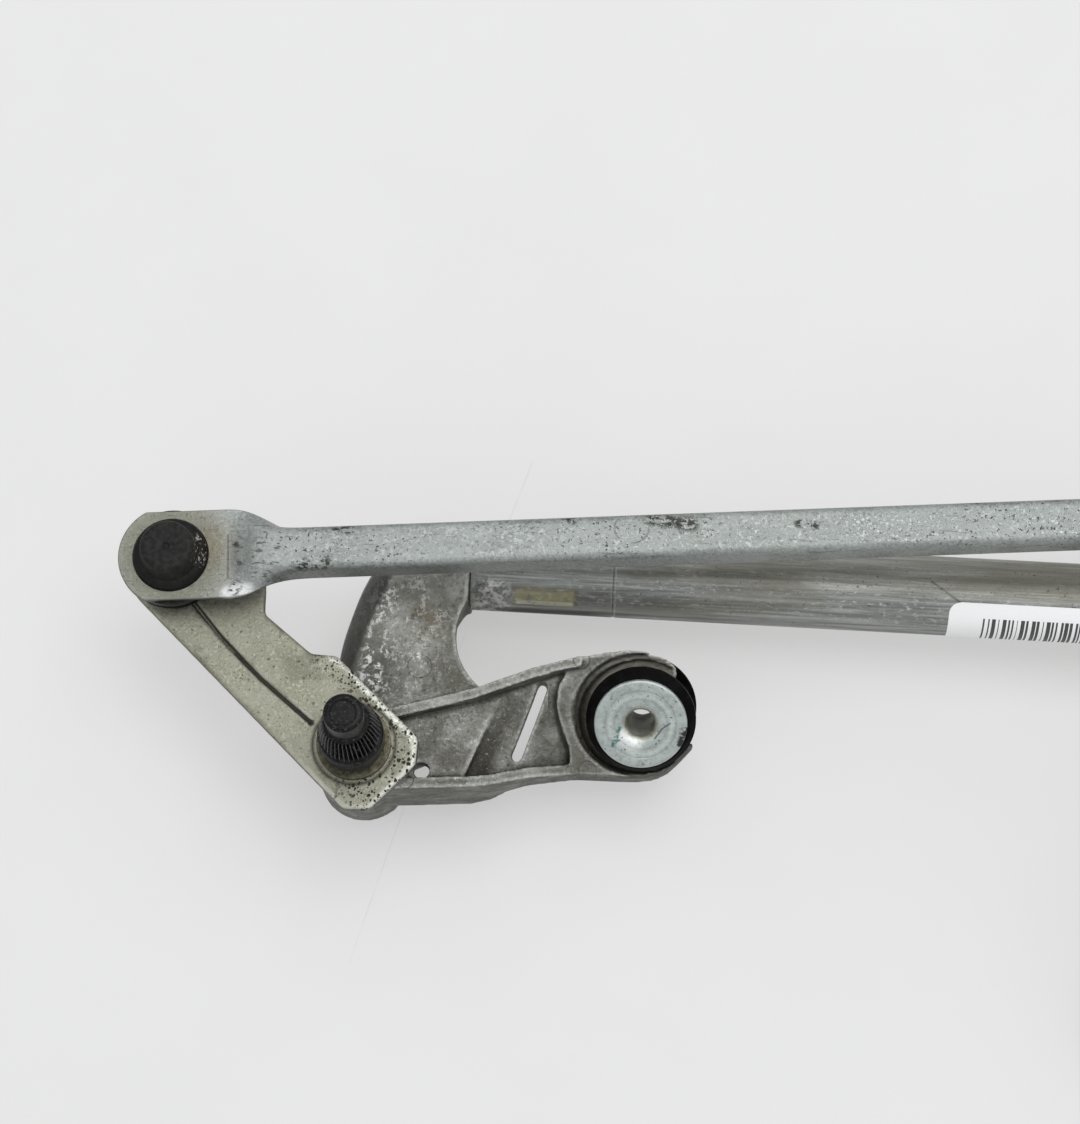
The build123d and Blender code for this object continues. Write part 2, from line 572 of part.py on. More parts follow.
def gear_cover():
    """The cover under the gear case, with the lower bearing's cup and a tongue for the connector."""
    foot = CASE_FOOT - COVER_T
    (x0, y0), (x1, y1) = CONNECTOR
    outline = Pos(*CRANK) * Circle(CASE_R)
    outline += make_face(Polyline((x0, y0), (x1, y0), (x1, -30), (x0, -30), close=True))
    body = plate(outline, foot, CASE_FOOT)
    body += upright_ring(9.0, 6.5, CASE_FOOT, CASE_FOOT + 4.6, CRANK)
    for angle in COVER_SCREW_ANGLES:
        body -= upright(2.1, foot - 1, CASE_FOOT + 1, polar(COVER_SCREW_RING, angle, CRANK))
    return body


def cover_screws():
    """Five screws that hold the cover up against the gear case."""
    foot = CASE_FOOT - COVER_T
    screws = []
    for angle in COVER_SCREW_ANGLES:
        centre = polar(COVER_SCREW_RING, angle, CRANK)
        head = upright(3.6, foot - 2.2, foot, centre) + upright(1.9, foot, CASE_FOOT + 7.5, centre)
        recess = Pos(centre[0], centre[1], foot - 3) * extrude(RegularPolygon(1.7, 6), 1.9)
        screws.append(head - recess)
    return Compound(screws)


def output_bushes():
    """The bushes above and below the worm wheel."""
    inner = 5.0 + RUNNING
    upper = upright_ring(6.5, inner, -35.6, CASE_TOP + 1.6, CRANK)
    return Compound([upper, upright_ring(6.5, inner, CASE_FOOT + 0.2, CASE_FOOT + 4.6, CRANK)])


def worm_wheel():
    """The moulded wheel: sixty slanted teeth that match the worm's lead."""
    root = WHEEL_R - DEDENDUM
    body = upright(root + 0.2, WHEEL_FOOT, WHEEL_TOP, CRANK)
    for tooth in range(WHEEL_TEETH):
        angle = (tooth + 0.5) * 360 / WHEEL_TEETH
        profile = make_face(Polyline(
            (root - 0.5, -0.85), (root, -0.82), (WHEEL_R + ADDENDUM, -0.42),
            (WHEEL_R + ADDENDUM, 0.42), (root, 0.82), (root - 0.5, 0.85), close=True,
        ))
        drift = (WORM_LEAD / (2 * pi * WORM_R)) * (WHEEL_TOP - WHEEL_FOOT)
        face = Pos(CRANK[0], CRANK[1], WHEEL_FOOT) * Rot(0, 0, angle) * Pos(0, -drift / 2, 0) * profile
        turn = radians(angle)
        lean = Vector(-sin(turn) * drift, cos(turn) * drift, WHEEL_TOP - WHEEL_FOOT)
        body += extrude(face, lean.length, dir=lean)
    body -= upright_ring(25.5, 12.0, WHEEL_TOP - 3, WHEEL_TOP + 1, CRANK)
    body -= upright(9.6, -35.95, WHEEL_TOP + 1, CRANK)
    return body - upright(5.0, -60, -20, CRANK)


def output_shaft():
    """The output shaft: journal, seat for the crank arm and threaded end."""
    return turned([
        (0, -50.4), (4.6, -50.4), (5.0, -50.0), (5.0, ARM_FOOT), (4.6, ARM_FOOT), (4.6, ARM_TOP),
        (4.0, ARM_TOP), (4.0, -18.2), (3.4, -17.6), (0, -17.6),
    ], CRANK)


def park_disc():
    """The copper track on the wheel's underside, with a gap where the motor parks."""
    ring = upright_ring(27.5, 13.5, WHEEL_FOOT - 0.6, WHEEL_FOOT, CRANK)
    gap = make_face(Polyline(CRANK, polar(40, 245, CRANK), polar(40, 265, CRANK), close=True))
    return ring - (plate(gap, -60, -30) - upright(19.5, -60, -20, CRANK))


def park_contacts():
    """Three sprung fingers that stand on the cover and reach up to the track."""
    top = WHEEL_FOOT - 0.9
    fingers = []
    for radius in (15.5, 20.5, 25.5):
        side = Polyline((0, CASE_FOOT), (0, CASE_FOOT + 2.5), (9, top), (10, top), (10, top - 0.4),
                        (9.1, top - 0.4), (0.4, CASE_FOOT + 2.2), (0.4, CASE_FOOT), close=True)
        finger = extrude(Plane.XZ * make_face(side), 1.2, both=True)
        fingers.append(Pos(CRANK[0] - 4, CRANK[1] + radius, 0) * finger)
    return Compound(fingers)


def crank_arm():
    """The flat crank arm: a round hub on the shaft and a round end under the ball."""
    outline = hull_of((*CRANK, 11.0), (*CRANK_PIN, 8.6))
    body = plate(outline, ARM_FOOT, ARM_TOP)
    body -= upright(4.6, ARM_FOOT - 1, ARM_TOP + 1, CRANK)
    return body - upright(4.0, ARM_FOOT - 1, ARM_TOP + 1, CRANK_PIN)


def crank_nut():
    """The flanged nut that clamps the crank arm to its seat."""
    body = upright(8.2, ARM_TOP, ARM_TOP + 1.2, CRANK)
    body += Pos(CRANK[0], CRANK[1], ARM_TOP + 1.2) * extrude(RegularPolygon(6.5, 6, major_radius=False), 3.6)
    return body - upright(4.0, ARM_TOP - 1, ARM_TOP + 9, CRANK)


# Armature

def worm_shaft():
    """The armature's shaft with the single-start worm rolled on it."""
    length = WORM_TURNS * WORM_LEAD
    root = WORM_R - DEDENDUM
    helix = Helix(pitch=WORM_LEAD, height=length, radius=root - 0.3)
    start = Plane(origin=helix @ 0, x_dir=(1, 0, 0), z_dir=helix % 0)
    tip = DEDENDUM + ADDENDUM + 0.3
    profile = start * make_face(Polyline((0, -0.78), (tip, -0.42), (tip, 0.42), (0, 0.78), close=True))
    thread = sweep(profile, path=helix, is_frenet=True)
    thread = Pos(CRANK[0] - length / 2, AXIS_Y, AXIS_Z) * Rot(0, 90, 0) * thread
    worm_start, worm_end = CRANK[0] - length / 2 - 1, CRANK[0] + length / 2 + 1
    body = motor_bar(SHAFT_R, 222.2, worm_start) + motor_bar(root, worm_start - 0.1, worm_end + 0.1)
    body += motor_bar(SHAFT_R, worm_end, FACE_X + CAN_LENGTH + 4.5)
    return body + thread


def slot_cut(bottom, top, width, start, end):
    """One slot along the armature, as a block standing up from its axis."""
    return block((start, AXIS_Y - width / 2, AXIS_Z + bottom), (end, AXIS_Y + width / 2, AXIS_Z + top))


def round_armature(shape):
    """The same shape repeated at every slot."""
    axis = Axis((0, AXIS_Y, AXIS_Z), (1, 0, 0))
    return [shape.rotate(axis, i * 360 / SLOTS) for i in range(SLOTS)]


def armature_core():
    """The stack of laminations, slotted for the windings."""
    body = motor_bar(CORE_R, *CORE) - motor_bar(SHAFT_R, CORE[0] - 1, CORE[1] + 1)
    wide = slot_cut(8.5, 15.2, 3.6, CORE[0] - 1, CORE[1] + 1)
    mouth = slot_cut(14, 18, 1.4, CORE[0] - 1, CORE[1] + 1)
    for piece in round_armature(wide) + round_armature(mouth):
        body -= piece
    return body


def armature_windings():
    """The copper coils: a bundle in every slot and the turns that join them at both ends."""
    ends = [(CORE[0] - 6, CORE[0]), (CORE[1], CORE[1] + 6)]
    body = None
    for low, high in ends:
        ring = motor_bar(14.8, low, high) - motor_bar(5.5, low - 1, high + 1)
        body = ring if body is None else body + ring
    for bundle in round_armature(slot_cut(8.5, 14.6, 3.6, CORE[0] - 1, CORE[1] + 1)):
        body += bundle
    return body


def commutator():
    """The commutator: copper bars round the shaft, parted by narrow gaps."""
    start, end = 305.0, CORE[0] - 7
    body = motor_bar(9.0, start, end) - motor_bar(SHAFT_R, start - 1, end + 1)
    for cut in round_armature(slot_cut(8.2, 10, 0.5, start - 1, end + 1)):
        body -= cut
    return body


# Motor

def motor_can():
    """The drawn steel can, with a flange at its mouth and a bearing hump at its closed end."""
    end = FACE_X + CAN_LENGTH
    body = motor_bar(CAN_R, FACE_X, end) + motor_bar(9.0, end, end + 6)
    for side in (-1, 1):
        y = AXIS_Y + side * EAR_REACH
        body += along_x(6.0, FACE_X, FACE_X + 2, y, AXIS_Z)
        body += block((FACE_X, min(y, AXIS_Y), AXIS_Z - 5), (FACE_X + 2, max(y, AXIS_Y), AXIS_Z + 5))
    body -= motor_bar(CAN_R - CAN_WALL, FACE_X - 1, end - CAN_WALL)
    body -= motor_bar(7.4, end - 5, end + 4.8)
    for side in (-1, 1):
        body -= along_x(2.7, FACE_X - 1, FACE_X + 3, AXIS_Y + side * EAR_REACH, AXIS_Z)
    return body


def magnets():
    """Two curved ferrite magnets glued inside the can."""
    outer, inner = CAN_R - CAN_WALL, 17.5
    ring = motor_bar(outer, 318, 360) - motor_bar(inner, 317, 361)
    pair = []
    for low, high in ((-30, -7.5), (7.5, 30)):
        pair.append(ring & block((300, AXIS_Y + low, AXIS_Z - 30), (370, AXIS_Y + high, AXIS_Z + 30)))
    return Compound(pair)


def motor_screws():
    """Two hexagon screws that hold the can to the gear case."""
    screws = []
    for side in (-1, 1):
        y = AXIS_Y + side * EAR_REACH
        head = Pos(FACE_X + 2, y, AXIS_Z) * Rot(0, 90, 0) * extrude(RegularPolygon(4.0, 6, major_radius=False), 3.5)
        screws.append(head + along_x(2.5, FACE_X - 8, FACE_X + 2, y, AXIS_Z))
    return Compound(screws)


def brush_plate():
    """The moulded plate that carries the brushes inside the can's mouth."""
    body = motor_bar(CAN_R - CAN_WALL, FACE_X + 0.5, FACE_X + 3) - motor_bar(10.5, FACE_X - 1, FACE_X + 4)
    for side in (-1, 1):
        low, high = sorted((AXIS_Z + side * 10.6, AXIS_Z + side * 20))
        box = block((FACE_X + 3, AXIS_Y - 4, low), (FACE_X + 13, AXIS_Y + 4, high))
        low, high = sorted((AXIS_Z + side * 10, AXIS_Z + side * 19))
        body += box - block((FACE_X + 4.5, AXIS_Y - 2.5, low), (FACE_X + 11.5, AXIS_Y + 2.5, high))
    return body


def brushes():
    """Two carbon brushes, one on each side of the commutator."""
    pair = []
    for side in (-1, 1):
        low, high = sorted((AXIS_Z + side * 9.3, AXIS_Z + side * 15))
        pair.append(block((FACE_X + 4.5, AXIS_Y - 2.5, low), (FACE_X + 11.5, AXIS_Y + 2.5, high)))
    return Compound(pair)


def brush_springs():
    """Two coil springs that press the brushes inwards, each drawn as a stack of rings."""
    rings = []
    for side in (-1, 1):
        body = Pos(FACE_X + 8, AXIS_Y, AXIS_Z + side * 17) * Cylinder(1.0, 4)
        for step in range(4):
            z = AXIS_Z + side * (15.6 + step * 0.93)
            body += Pos(FACE_X + 8, AXIS_Y, z) * Torus(1.3, 0.4)
        rings.append(body)
    return Compound(rings)


def shaft_bushes():
    """The worm's outer bush, the middle bush behind the worm and the bush in the can's hump."""
    inner = SHAFT_R + RUNNING
    end = FACE_X + CAN_LENGTH
    bushes = []
    for outer, low, high in ((6.5, 222, 228), (TUNNEL_BORE_R, 284, 291), (7.4, end - 1.6, end + 4.6)):
        bushes.append(motor_bar(outer, low, high) - motor_bar(inner, low - 1, high + 1))
    return Compound(bushes)


def connector_shell():
    """The moulded plug socket that stands on the cover and opens away from the tube."""
    (x0, y0), (x1, y1) = CONNECTOR
    body = block((x0, y0, CASE_FOOT), (x1, y1, CONNECTOR_TOP))
    body -= block((x0 + 2.2, y0 - 1, CASE_FOOT + 2.4), (x1 - 2.2, y1 - 3.0, CONNECTOR_TOP - 2.2))
    latch = block(((x0 + x1) / 2 - 4, y0 + 1, CONNECTOR_TOP), ((x0 + x1) / 2 + 4, y0 + 6, CONNECTOR_TOP + 1.6))
    return body + latch


def connector_pins():
    """Four flat blades at the bottom of the plug socket."""
    (x0, _), (x1, y1) = CONNECTOR
    pins = []
    for i in range(4):
        x = x0 + 6.2 + i * 5.2
        pins.append(block((x - 1.4, y1 - 10.5, -42.4), (x + 1.4, y1 - 3.0, -41.6)))
    return Compound(pins)


# Root body
save("frame_tube", frame_tube())
save("left_pivot_housing", left_housing())
save("right_pivot_housing", right_housing())
save("left_spindle_bushes", spindle_bushes(LEFT, LEFT_BOSS_FOOT))
save("right_spindle_bushes", spindle_bushes(RIGHT, RIGHT_BOSS_FOOT))
for side, centre in (("left", LEFT), ("right", RIGHT)):
    save(f"{side}_thrust_washer", upright_ring(10.0, 5.2, HOUSING_TOP, LEVER_FOOT - 0.3, centre))
save("left_grommet", left_grommet())
save("left_mount_sleeve", left_sleeve())
save("right_grommet", upright_grommet(RIGHT_EYE, *RIGHT_WEB, EYE_BORE, GROMMET_R))
save("right_mount_sleeve", upright_sleeve(RIGHT_EYE, *RIGHT_WEB, WASHER_R))
save("motor_grommet", upright_grommet(MOTOR_EYE, *MOTOR_WEB, 8.0, 11.0))
save("motor_mount_sleeve", upright_sleeve(MOTOR_EYE, *MOTOR_WEB, 9.0))
save("motor_bracket", motor_bracket())
save("bracket_screws", bracket_screws())
save("gear_case", gear_case())
save("gear_cover", gear_cover())
save("cover_screws", cover_screws())
save("output_bushes", output_bushes())
save("park_contacts", park_contacts())
save("motor_can", motor_can())
save("motor_magnets", magnets())
save("motor_screws", motor_screws())
save("brush_plate", brush_plate())
save("brushes", brushes())
save("brush_springs", brush_springs())
save("shaft_bushes", shaft_bushes())
save("connector_shell", connector_shell())
save("connector_pins", connector_pins())

# Armature
save("worm_shaft", worm_shaft())
save("armature_core", armature_core())
save("armature_windings", armature_windings())
save("commutator", commutator())

# Crank
save("worm_wheel", worm_wheel())
save("output_shaft", output_shaft())
save("park_disc", park_disc())
save("crank_arm", crank_arm())
save("crank_nut", crank_nut())
save("crank_ball_stud", ball_stud(CRANK_PIN, ARM_FOOT, ARM_TOP, CRANK_BALL_Z))
save("crank_socket", crank_socket())
save("crank_boot", crank_boot())

# Levers
for side, centre, foot in (("left", LEFT, LEFT_BOSS_FOOT), ("right", RIGHT, RIGHT_BOSS_FOOT)):
    save(f"{side}_spindle", spindle(centre, foot - 2.5))
    save(f"{side}_retaining_clip", retaining_clip(centre, foot - 2.5))
    save(f"{side}_lever_ring", lever_ring(centre))
save("left_lever", left_lever())
save("right_lever", right_lever())
save("left_ball_stud", ball_stud(LEFT_BALL, LEVER_FOOT, LEVER_TOP, BALL_Z))
studs = [ball_stud(centre, LEVER_FOOT, LEVER_TOP, BALL_Z) for centre in (RIGHT_BALL, DRIVE_BALL)]
save("right_ball_studs", Compound(studs))

# Links
save("drag_link", link(LEFT_BALL, DRAG_LINK_LENGTH, LINK_SLOPE, END_PLATE_TOP, PLATE_HOLE_R))
save("drive_link", link(DRIVE_BALL, DRIVE_LINK_LENGTH, LINK_SLOPE + 180, RAISED_PLATE_TOP, None))
save("drag_link_sockets", Compound([socket(LEFT_BALL), socket(RIGHT_BALL)]))
save("drag_link_boots", Compound([boot(LEFT_BALL), boot(RIGHT_BALL)]))
save("drive_link_socket", socket(DRIVE_BALL))
save("drive_link_boot", boot(DRIVE_BALL))
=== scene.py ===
from math import radians

import bmesh
import bpy
import numpy as np
from mathutils import Matrix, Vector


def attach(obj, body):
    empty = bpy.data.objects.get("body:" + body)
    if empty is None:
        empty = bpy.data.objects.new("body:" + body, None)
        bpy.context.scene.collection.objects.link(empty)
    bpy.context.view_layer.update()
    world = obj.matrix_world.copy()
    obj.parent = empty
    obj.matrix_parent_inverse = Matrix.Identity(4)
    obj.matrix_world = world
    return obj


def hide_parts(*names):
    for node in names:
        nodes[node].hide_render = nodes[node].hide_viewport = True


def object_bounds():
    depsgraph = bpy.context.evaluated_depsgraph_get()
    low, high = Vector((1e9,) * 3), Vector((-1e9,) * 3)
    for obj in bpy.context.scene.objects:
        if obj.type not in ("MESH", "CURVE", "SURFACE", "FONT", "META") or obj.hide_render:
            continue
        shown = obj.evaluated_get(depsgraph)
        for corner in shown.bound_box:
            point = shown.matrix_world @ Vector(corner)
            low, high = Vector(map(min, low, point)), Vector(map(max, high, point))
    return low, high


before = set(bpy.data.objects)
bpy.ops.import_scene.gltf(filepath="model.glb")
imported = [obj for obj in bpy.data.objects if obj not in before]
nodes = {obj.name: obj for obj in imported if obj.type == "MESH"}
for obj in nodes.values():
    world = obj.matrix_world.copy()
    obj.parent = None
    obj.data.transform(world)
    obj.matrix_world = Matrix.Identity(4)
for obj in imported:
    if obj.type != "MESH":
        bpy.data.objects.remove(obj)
cad_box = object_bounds()


# Frame tube: drawn steel, 20 mm across with a 1.5 mm wall, streaked lengthwise by the drawing die.
# A housing's spigot is pressed into each end and locked by a long dent from outside.
# The first finish is made here, so the functions that build a finish are here as well.

def finish(name):
    """An empty node material."""
    made = bpy.data.materials.new(name)
    made.use_nodes = True
    made.node_tree.nodes.clear()
    return made


def add(made, kind, sockets=(), **settings):
    """One shader node. Each socket's entry is a value or the socket of another node."""
    tree = made.node_tree
    one = tree.nodes.new(kind)
    for name, value in settings.items():
        setattr(one, name, value)
    for place, value in dict(sockets).items():
        if isinstance(value, bpy.types.NodeSocket):
            tree.links.new(value, one.inputs[place])
        else:
            one.inputs[place].default_value = value
    return one


def place(made, stretch=(1, 1, 1), turn=(0, 0, 0)):
    """Object coordinates, stretched and turned."""
    source = add(made, "ShaderNodeTexCoord").outputs["Object"]
    turned = [radians(a) for a in turn]
    return add(made, "ShaderNodeMapping", {"Vector": source, "Scale": stretch, "Rotation": turned}).outputs[0]


def place_mm(made):
    """Object coordinates in millimetres."""
    return place(made, (1000, 1000, 1000))


def ramp(made, value, low, high, shape="LINEAR"):
    """A mask that goes from 0 to 1 while a value goes from the low level to the high one."""
    return add(made, "ShaderNodeMapRange", {"Value": value, "From Min": low, "From Max": high},
               interpolation_type=shape).outputs[0]


def cloud(made, size, low, high, stretch=(1, 1, 1), turn=(0, 0, 0), detail=4.0, rough=0.6):
    """A noise mask from 0 to 1 with blotches of a size in millimetres, cut between two levels."""
    noise = add(made, "ShaderNodeTexNoise", {
        "Vector": place(made, stretch, turn), "Scale": 1000.0 / size, "Detail": detail, "Roughness": rough,
    })
    return ramp(made, noise.outputs[0], low, high, "SMOOTHSTEP")


def vectors(made, how, first, second):
    """Two vectors put together, as a number for a distance or a product."""
    put = add(made, "ShaderNodeVectorMath", {0: first, 1: second}, operation=how)
    return put.outputs["Value" if how in ("DISTANCE", "DOT_PRODUCT") else 0]


def away(made, centre, stretch):
    """The distance from one place in millimetres, on stretched axes."""
    middle = [c * s for c, s in zip(centre, stretch)]
    return vectors(made, "DISTANCE", place(made, [1000 * s for s in stretch]), middle)


def spot(made, centre, reach, core=0.0, stretch=(1, 1, 1)):
    """A mask round one place in millimetres: 1 within the core, and 0 beyond the reach."""
    return ramp(made, away(made, centre, stretch), reach, core, "SMOOTHSTEP")


def line(made, start, end, reach, core=0.0):
    """A mask round a straight line between two places in millimetres.
    Each point's shadow on the line is the line's nearest place to it."""
    start, end = np.array(start, float), np.array(end, float)
    run = end - start
    off = vectors(made, "SUBTRACT", place_mm(made), start)
    share = add(made, "ShaderNodeClamp", {0: vectors(made, "DOT_PRODUCT", off, run / (run @ run))}).outputs[0]
    nearest = add(made, "ShaderNodeVectorMath", {0: run, 3: share}, operation="SCALE").outputs[0]
    return ramp(made, vectors(made, "DISTANCE", off, nearest), reach, core, "SMOOTHSTEP")


def maths(made, how, first, second):
    """Two numbers or masks put together."""
    return add(made, "ShaderNodeMath", {0: first, 1: second}, operation=how).outputs[0]


def both(made, *masks):
    """Masks multiplied together."""
    whole = masks[0]
    for mask in masks[1:]:
        whole = maths(made, "MULTIPLY", whole, mask)
    return whole


def either(made, *masks):
    """The highest of some masks at each place."""
    whole = masks[0]
    for mask in masks[1:]:
        whole = maths(made, "MAXIMUM", whole, mask)
    return whole


def axes(made):
    """The three coordinates of a point, in millimetres."""
    return add(made, "ShaderNodeSeparateXYZ", {0: place_mm(made)}).outputs


def between(made, value, low, high, soft=0.4):
    """A mask that is 1 while a number lies between two limits."""
    return both(made, ramp(made, value, low - soft, low + soft), ramp(made, value, high + soft, high - soft))


def tint(made, mask, under, over):
    """One colour where the mask is 0 and another where it is 1."""
    four = [c if isinstance(c, bpy.types.NodeSocket) else (*c, 1) for c in (under, over)]
    return add(made, "ShaderNodeMix", {0: mask, 6: four[0], 7: four[1]}, data_type="RGBA").outputs[2]


def layers(made, colour, *coats):
    """Colours laid one over another. Each coat is its mask, its strength from 0 to 1, and its colour."""
    for mask, strength, over in coats:
        colour = tint(made, mask if strength == 1 else both(made, mask, strength), colour, over)
    return colour


def blend(made, mask, under, over):
    """One number where the mask is 0 and another where it is 1."""
    return add(made, "ShaderNodeMapRange", {"Value": mask, "To Min": under, "To Max": over}).outputs[0]


def relief(made, *bumps):
    """A bump from (mask, height in millimetres) pairs, one on the other."""
    normal = None
    for mask, height in bumps:
        sockets = {"Height": mask, "Distance": abs(height) / 1000, "Strength": 1.0}
        if normal:
            sockets["Normal"] = normal
        normal = add(made, "ShaderNodeBump", sockets, invert=height < 0).outputs[0]
    return normal


def coat(made, colour, rough, normal=None, metallic=0.0, **more):
    """The shader itself."""
    sockets = {"Base Color": colour if isinstance(colour, bpy.types.NodeSocket) else (*colour, 1),
               "Roughness": rough, "Metallic": metallic, **more}
    if normal:
        sockets["Normal"] = normal
    shader = add(made, "ShaderNodeBsdfPrincipled", sockets)
    add(made, "ShaderNodeOutputMaterial", {"Surface": shader.outputs[0]})
    return made


def woven(name, grids, merge=1e-6, crease=35, bevel=0.0):
    """One closed mesh from grids of points in millimetres. Each grid's rows and columns join their neighbours,
    edges that meet are merged, and faces that meet more steeply than the crease angle keep a sharp edge."""
    points, faces, start = [], [], 0
    for grid in grids:
        rows, columns = grid.shape[:2]
        corner = start + (np.arange(rows - 1)[:, None] * columns + np.arange(columns - 1)).ravel()
        faces.append(np.stack([corner, corner + 1, corner + columns + 1, corner + columns], 1))
        points.append(grid.reshape(-1, 3))
        start += rows * columns
    made = bpy.data.meshes.new(name)
    made.from_pydata((np.concatenate(points) / 1000).tolist(), [], np.concatenate(faces).tolist())
    work = bmesh.new()
    work.from_mesh(made)
    bmesh.ops.remove_doubles(work, verts=work.verts, dist=merge)
    bmesh.ops.dissolve_degenerate(work, dist=1e-7, edges=work.edges)
    bmesh.ops.recalc_face_normals(work, faces=work.faces)
    work.to_mesh(made)
    work.free()
    made.shade_smooth()
    made.set_sharp_from_angle(angle=radians(crease))
    piece = bpy.data.objects.new(name, made)
    bpy.context.scene.collection.objects.link(piece)
    if bevel:
        soft = piece.modifiers.new("soft edge", "BEVEL")
        soft.width, soft.segments, soft.limit_method, soft.angle_limit = bevel / 1000, 2, "ANGLE", radians(50)
    return piece


def fit(piece, made, body, slot, *stands_for):
    """Gives a piece its finish and its body, and lets it stand for CAD nodes. The slot is not used."""
    piece.data.materials.append(made)
    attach(piece, body)
    if stands_for:
        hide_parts(*stands_for)
    return piece


def smooth(share):
    """A rise from 0 to 1 that is level at both ends: 3 times the share squared, less twice its cube."""
    share = np.clip(share, 0, 1)
    return share ** 2 * (3 - 2 * share)


def dip(at, centre, half, soft):
    """1 within half of a centre, falling smoothly to 0 over a soft border."""
    return 1 - smooth((np.abs(at - centre) - half) / soft)


def places(*spans):
    """Places along a piece, from spans that each have a start, an end and a count."""
    return np.unique(np.concatenate([np.linspace(*span) for span in spans]))


def closing(outer, inner):
    """The two strips that join the first and the last rows of two grids."""
    return [np.stack([outer[at], inner[at]], 0) for at in (0, -1)]


TUBE_LEFT, TUBE_RIGHT, TUBE_Y, TUBE_Z, TUBE_R, BORE_R = 24.1, 326.0, 52.6, -42.0, 10.0, 8.52
DENTS, DENT_HALF, DENT_TURN, DENT_DEPTH = (43.0, 307.0), 7.2, 53, 0.62
SCORES, SCORE_WIDTH, SCORE_DEPTH = (60.4, 289.6), 0.25, 0.3


def on_tube(x, turn, radius):
    """Points at a radius from the tube's axis. The angle starts at the top and grows towards the near side."""
    return np.stack([x, TUBE_Y - radius * np.sin(turn), TUBE_Z + radius * np.cos(turn)], 2)


x = places((TUBE_LEFT, 70, 150), (70, 294, 60), (294, TUBE_RIGHT, 80))
x, turn = np.meshgrid(x, np.linspace(0, 2 * np.pi, 145), indexing="ij")
# The radius is 10 mm, less a long dent on the near side at each spigot and a score where the spigot ends.
dent_round = dip(turn, radians(DENT_TURN), radians(9.5), radians(5))
dent = sum(dip(x, at, DENT_HALF, 1.6) for at in DENTS) * dent_round
score = sum(np.exp(-((x - at) / SCORE_WIDTH) ** 2) for at in SCORES)
outer = TUBE_R - DENT_DEPTH * np.clip(dent, 0, 1) - SCORE_DEPTH * score
wall = [on_tube(x, turn, radius) for radius in (outer, BORE_R)]
frame_tube = woven("frame_tube_skin", wall + closing(*wall), bevel=0.3)

tube_steel = finish("tube_steel")
along, over = axes(tube_steel)[:2]
streaks = cloud(tube_steel, 1.3, 0.36, 0.68, stretch=(0.035, 1, 1), detail=8, rough=0.7)
bands = cloud(tube_steel, 6.0, 0.4, 0.6, stretch=(0.04, 1, 1), detail=3)
stains = cloud(tube_steel, 14, 0.47, 0.62, stretch=(0.3, 1, 1), detail=7)
grit = cloud(tube_steel, 0.9, 0.52, 0.68, stretch=(0.5, 1, 1), detail=8, rough=0.75)
specks = cloud(tube_steel, 0.9, 0.64, 0.7)
crumbs = cloud(tube_steel, 2.4, 0.4, 0.56, detail=8, rough=0.75)
pitted = both(tube_steel, spot(tube_steel, (29.5, 43.8, -38), 8.0, 2.5, stretch=(1, 1.3, 0.5)), crumbs)
sunk = both(tube_steel, between(tube_steel, along, 35.4, 50.9, 0.7), between(tube_steel, over, 43.6, 46.3, 0.5))
sunk = both(tube_steel, sunk, cloud(tube_steel, 2.5, 0.2, 0.5, detail=6))
# Painted shadow: a dark strip along the tube's near lower edge beside the left dent, where the crimp folds the flank
# in.
tube_crease_shadow = both(tube_steel, between(tube_steel, along, 29, 60, 6), between(tube_steel, over, 40, 42.75, 0.15))
brown = both(tube_steel, between(tube_steel, over, 49.5, 62, 1.0), between(tube_steel, along, 66, 400, 14))
mark = either(tube_steel, between(tube_steel, along, 60.15, 60.45, 0.12),
              line(tube_steel, (139.9, 52.9, -32), (147.5, 48, -33), 0.5, 0.1))
colour = layers(
    tube_steel, tint(tube_steel, streaks, (0.17, 0.175, 0.163), (0.37, 0.378, 0.362)),
    (both(tube_steel, bands, grit), 1, (0.52, 0.53, 0.51)),
    (brown, 0.45, (0.2, 0.19, 0.15)),
    (stains, 0.45, (0.14, 0.13, 0.1)),
    (specks, 0.7, (0.04, 0.04, 0.035)),
    (sunk, 0.85, tint(tube_steel, grit, (0.43, 0.41, 0.26), (0.62, 0.6, 0.46))),
    (pitted, 1, (0.62, 0.62, 0.59)),
    (tube_crease_shadow, 1, (0.02, 0.02, 0.02)),
    (mark, 0.6, (0.05, 0.05, 0.045)),
    (between(tube_steel, along, 60.75, 61.0, 0.15), 0.4, (0.6, 0.6, 0.58)))
bumps = relief(tube_steel, (streaks, 0.03), (grit, 0.03), (specks, -0.04), (pitted, 0.3))
coat(tube_steel, colour, blend(tube_steel, streaks, 0.55, 0.42), bumps, 0.9)
fit(frame_tube, tube_steel, "frame", "tube_steel", "frame_tube")


# Label on the tube: a white paper strip, 0.11 mm thick, stuck round the tube's near side.
# Its left end has round corners, and its print is one row of plain bars.

LABEL_LEFT, LABEL_RIGHT, LABEL_CORNER = 144.6, 206.0, 3
LABEL_TOP, LABEL_FOOT = radians(25.5), radians(125)
label_x, label_turn = np.meshgrid(
    np.linspace(LABEL_LEFT, LABEL_RIGHT, 90), np.linspace(LABEL_TOP, LABEL_FOOT, 60), indexing="ij")
# The end's corners are cut back on a radius: the strip starts later near its long edges.
edge = np.minimum(label_turn - LABEL_TOP, LABEL_FOOT - label_turn) * TUBE_R
late = LABEL_CORNER - np.sqrt(np.clip(LABEL_CORNER ** 2 - (LABEL_CORNER - edge) ** 2, 0, None))
label_x += np.where(edge < LABEL_CORNER, late, 0) * (LABEL_RIGHT - label_x) / (LABEL_RIGHT - LABEL_LEFT)
paper = [on_tube(label_x, label_turn, TUBE_R + gap) for gap in (0.13, 0.02)]
long_edges = closing(*(side.swapaxes(0, 1) for side in paper))
label = woven("tube_label", paper + closing(*paper) + long_edges)

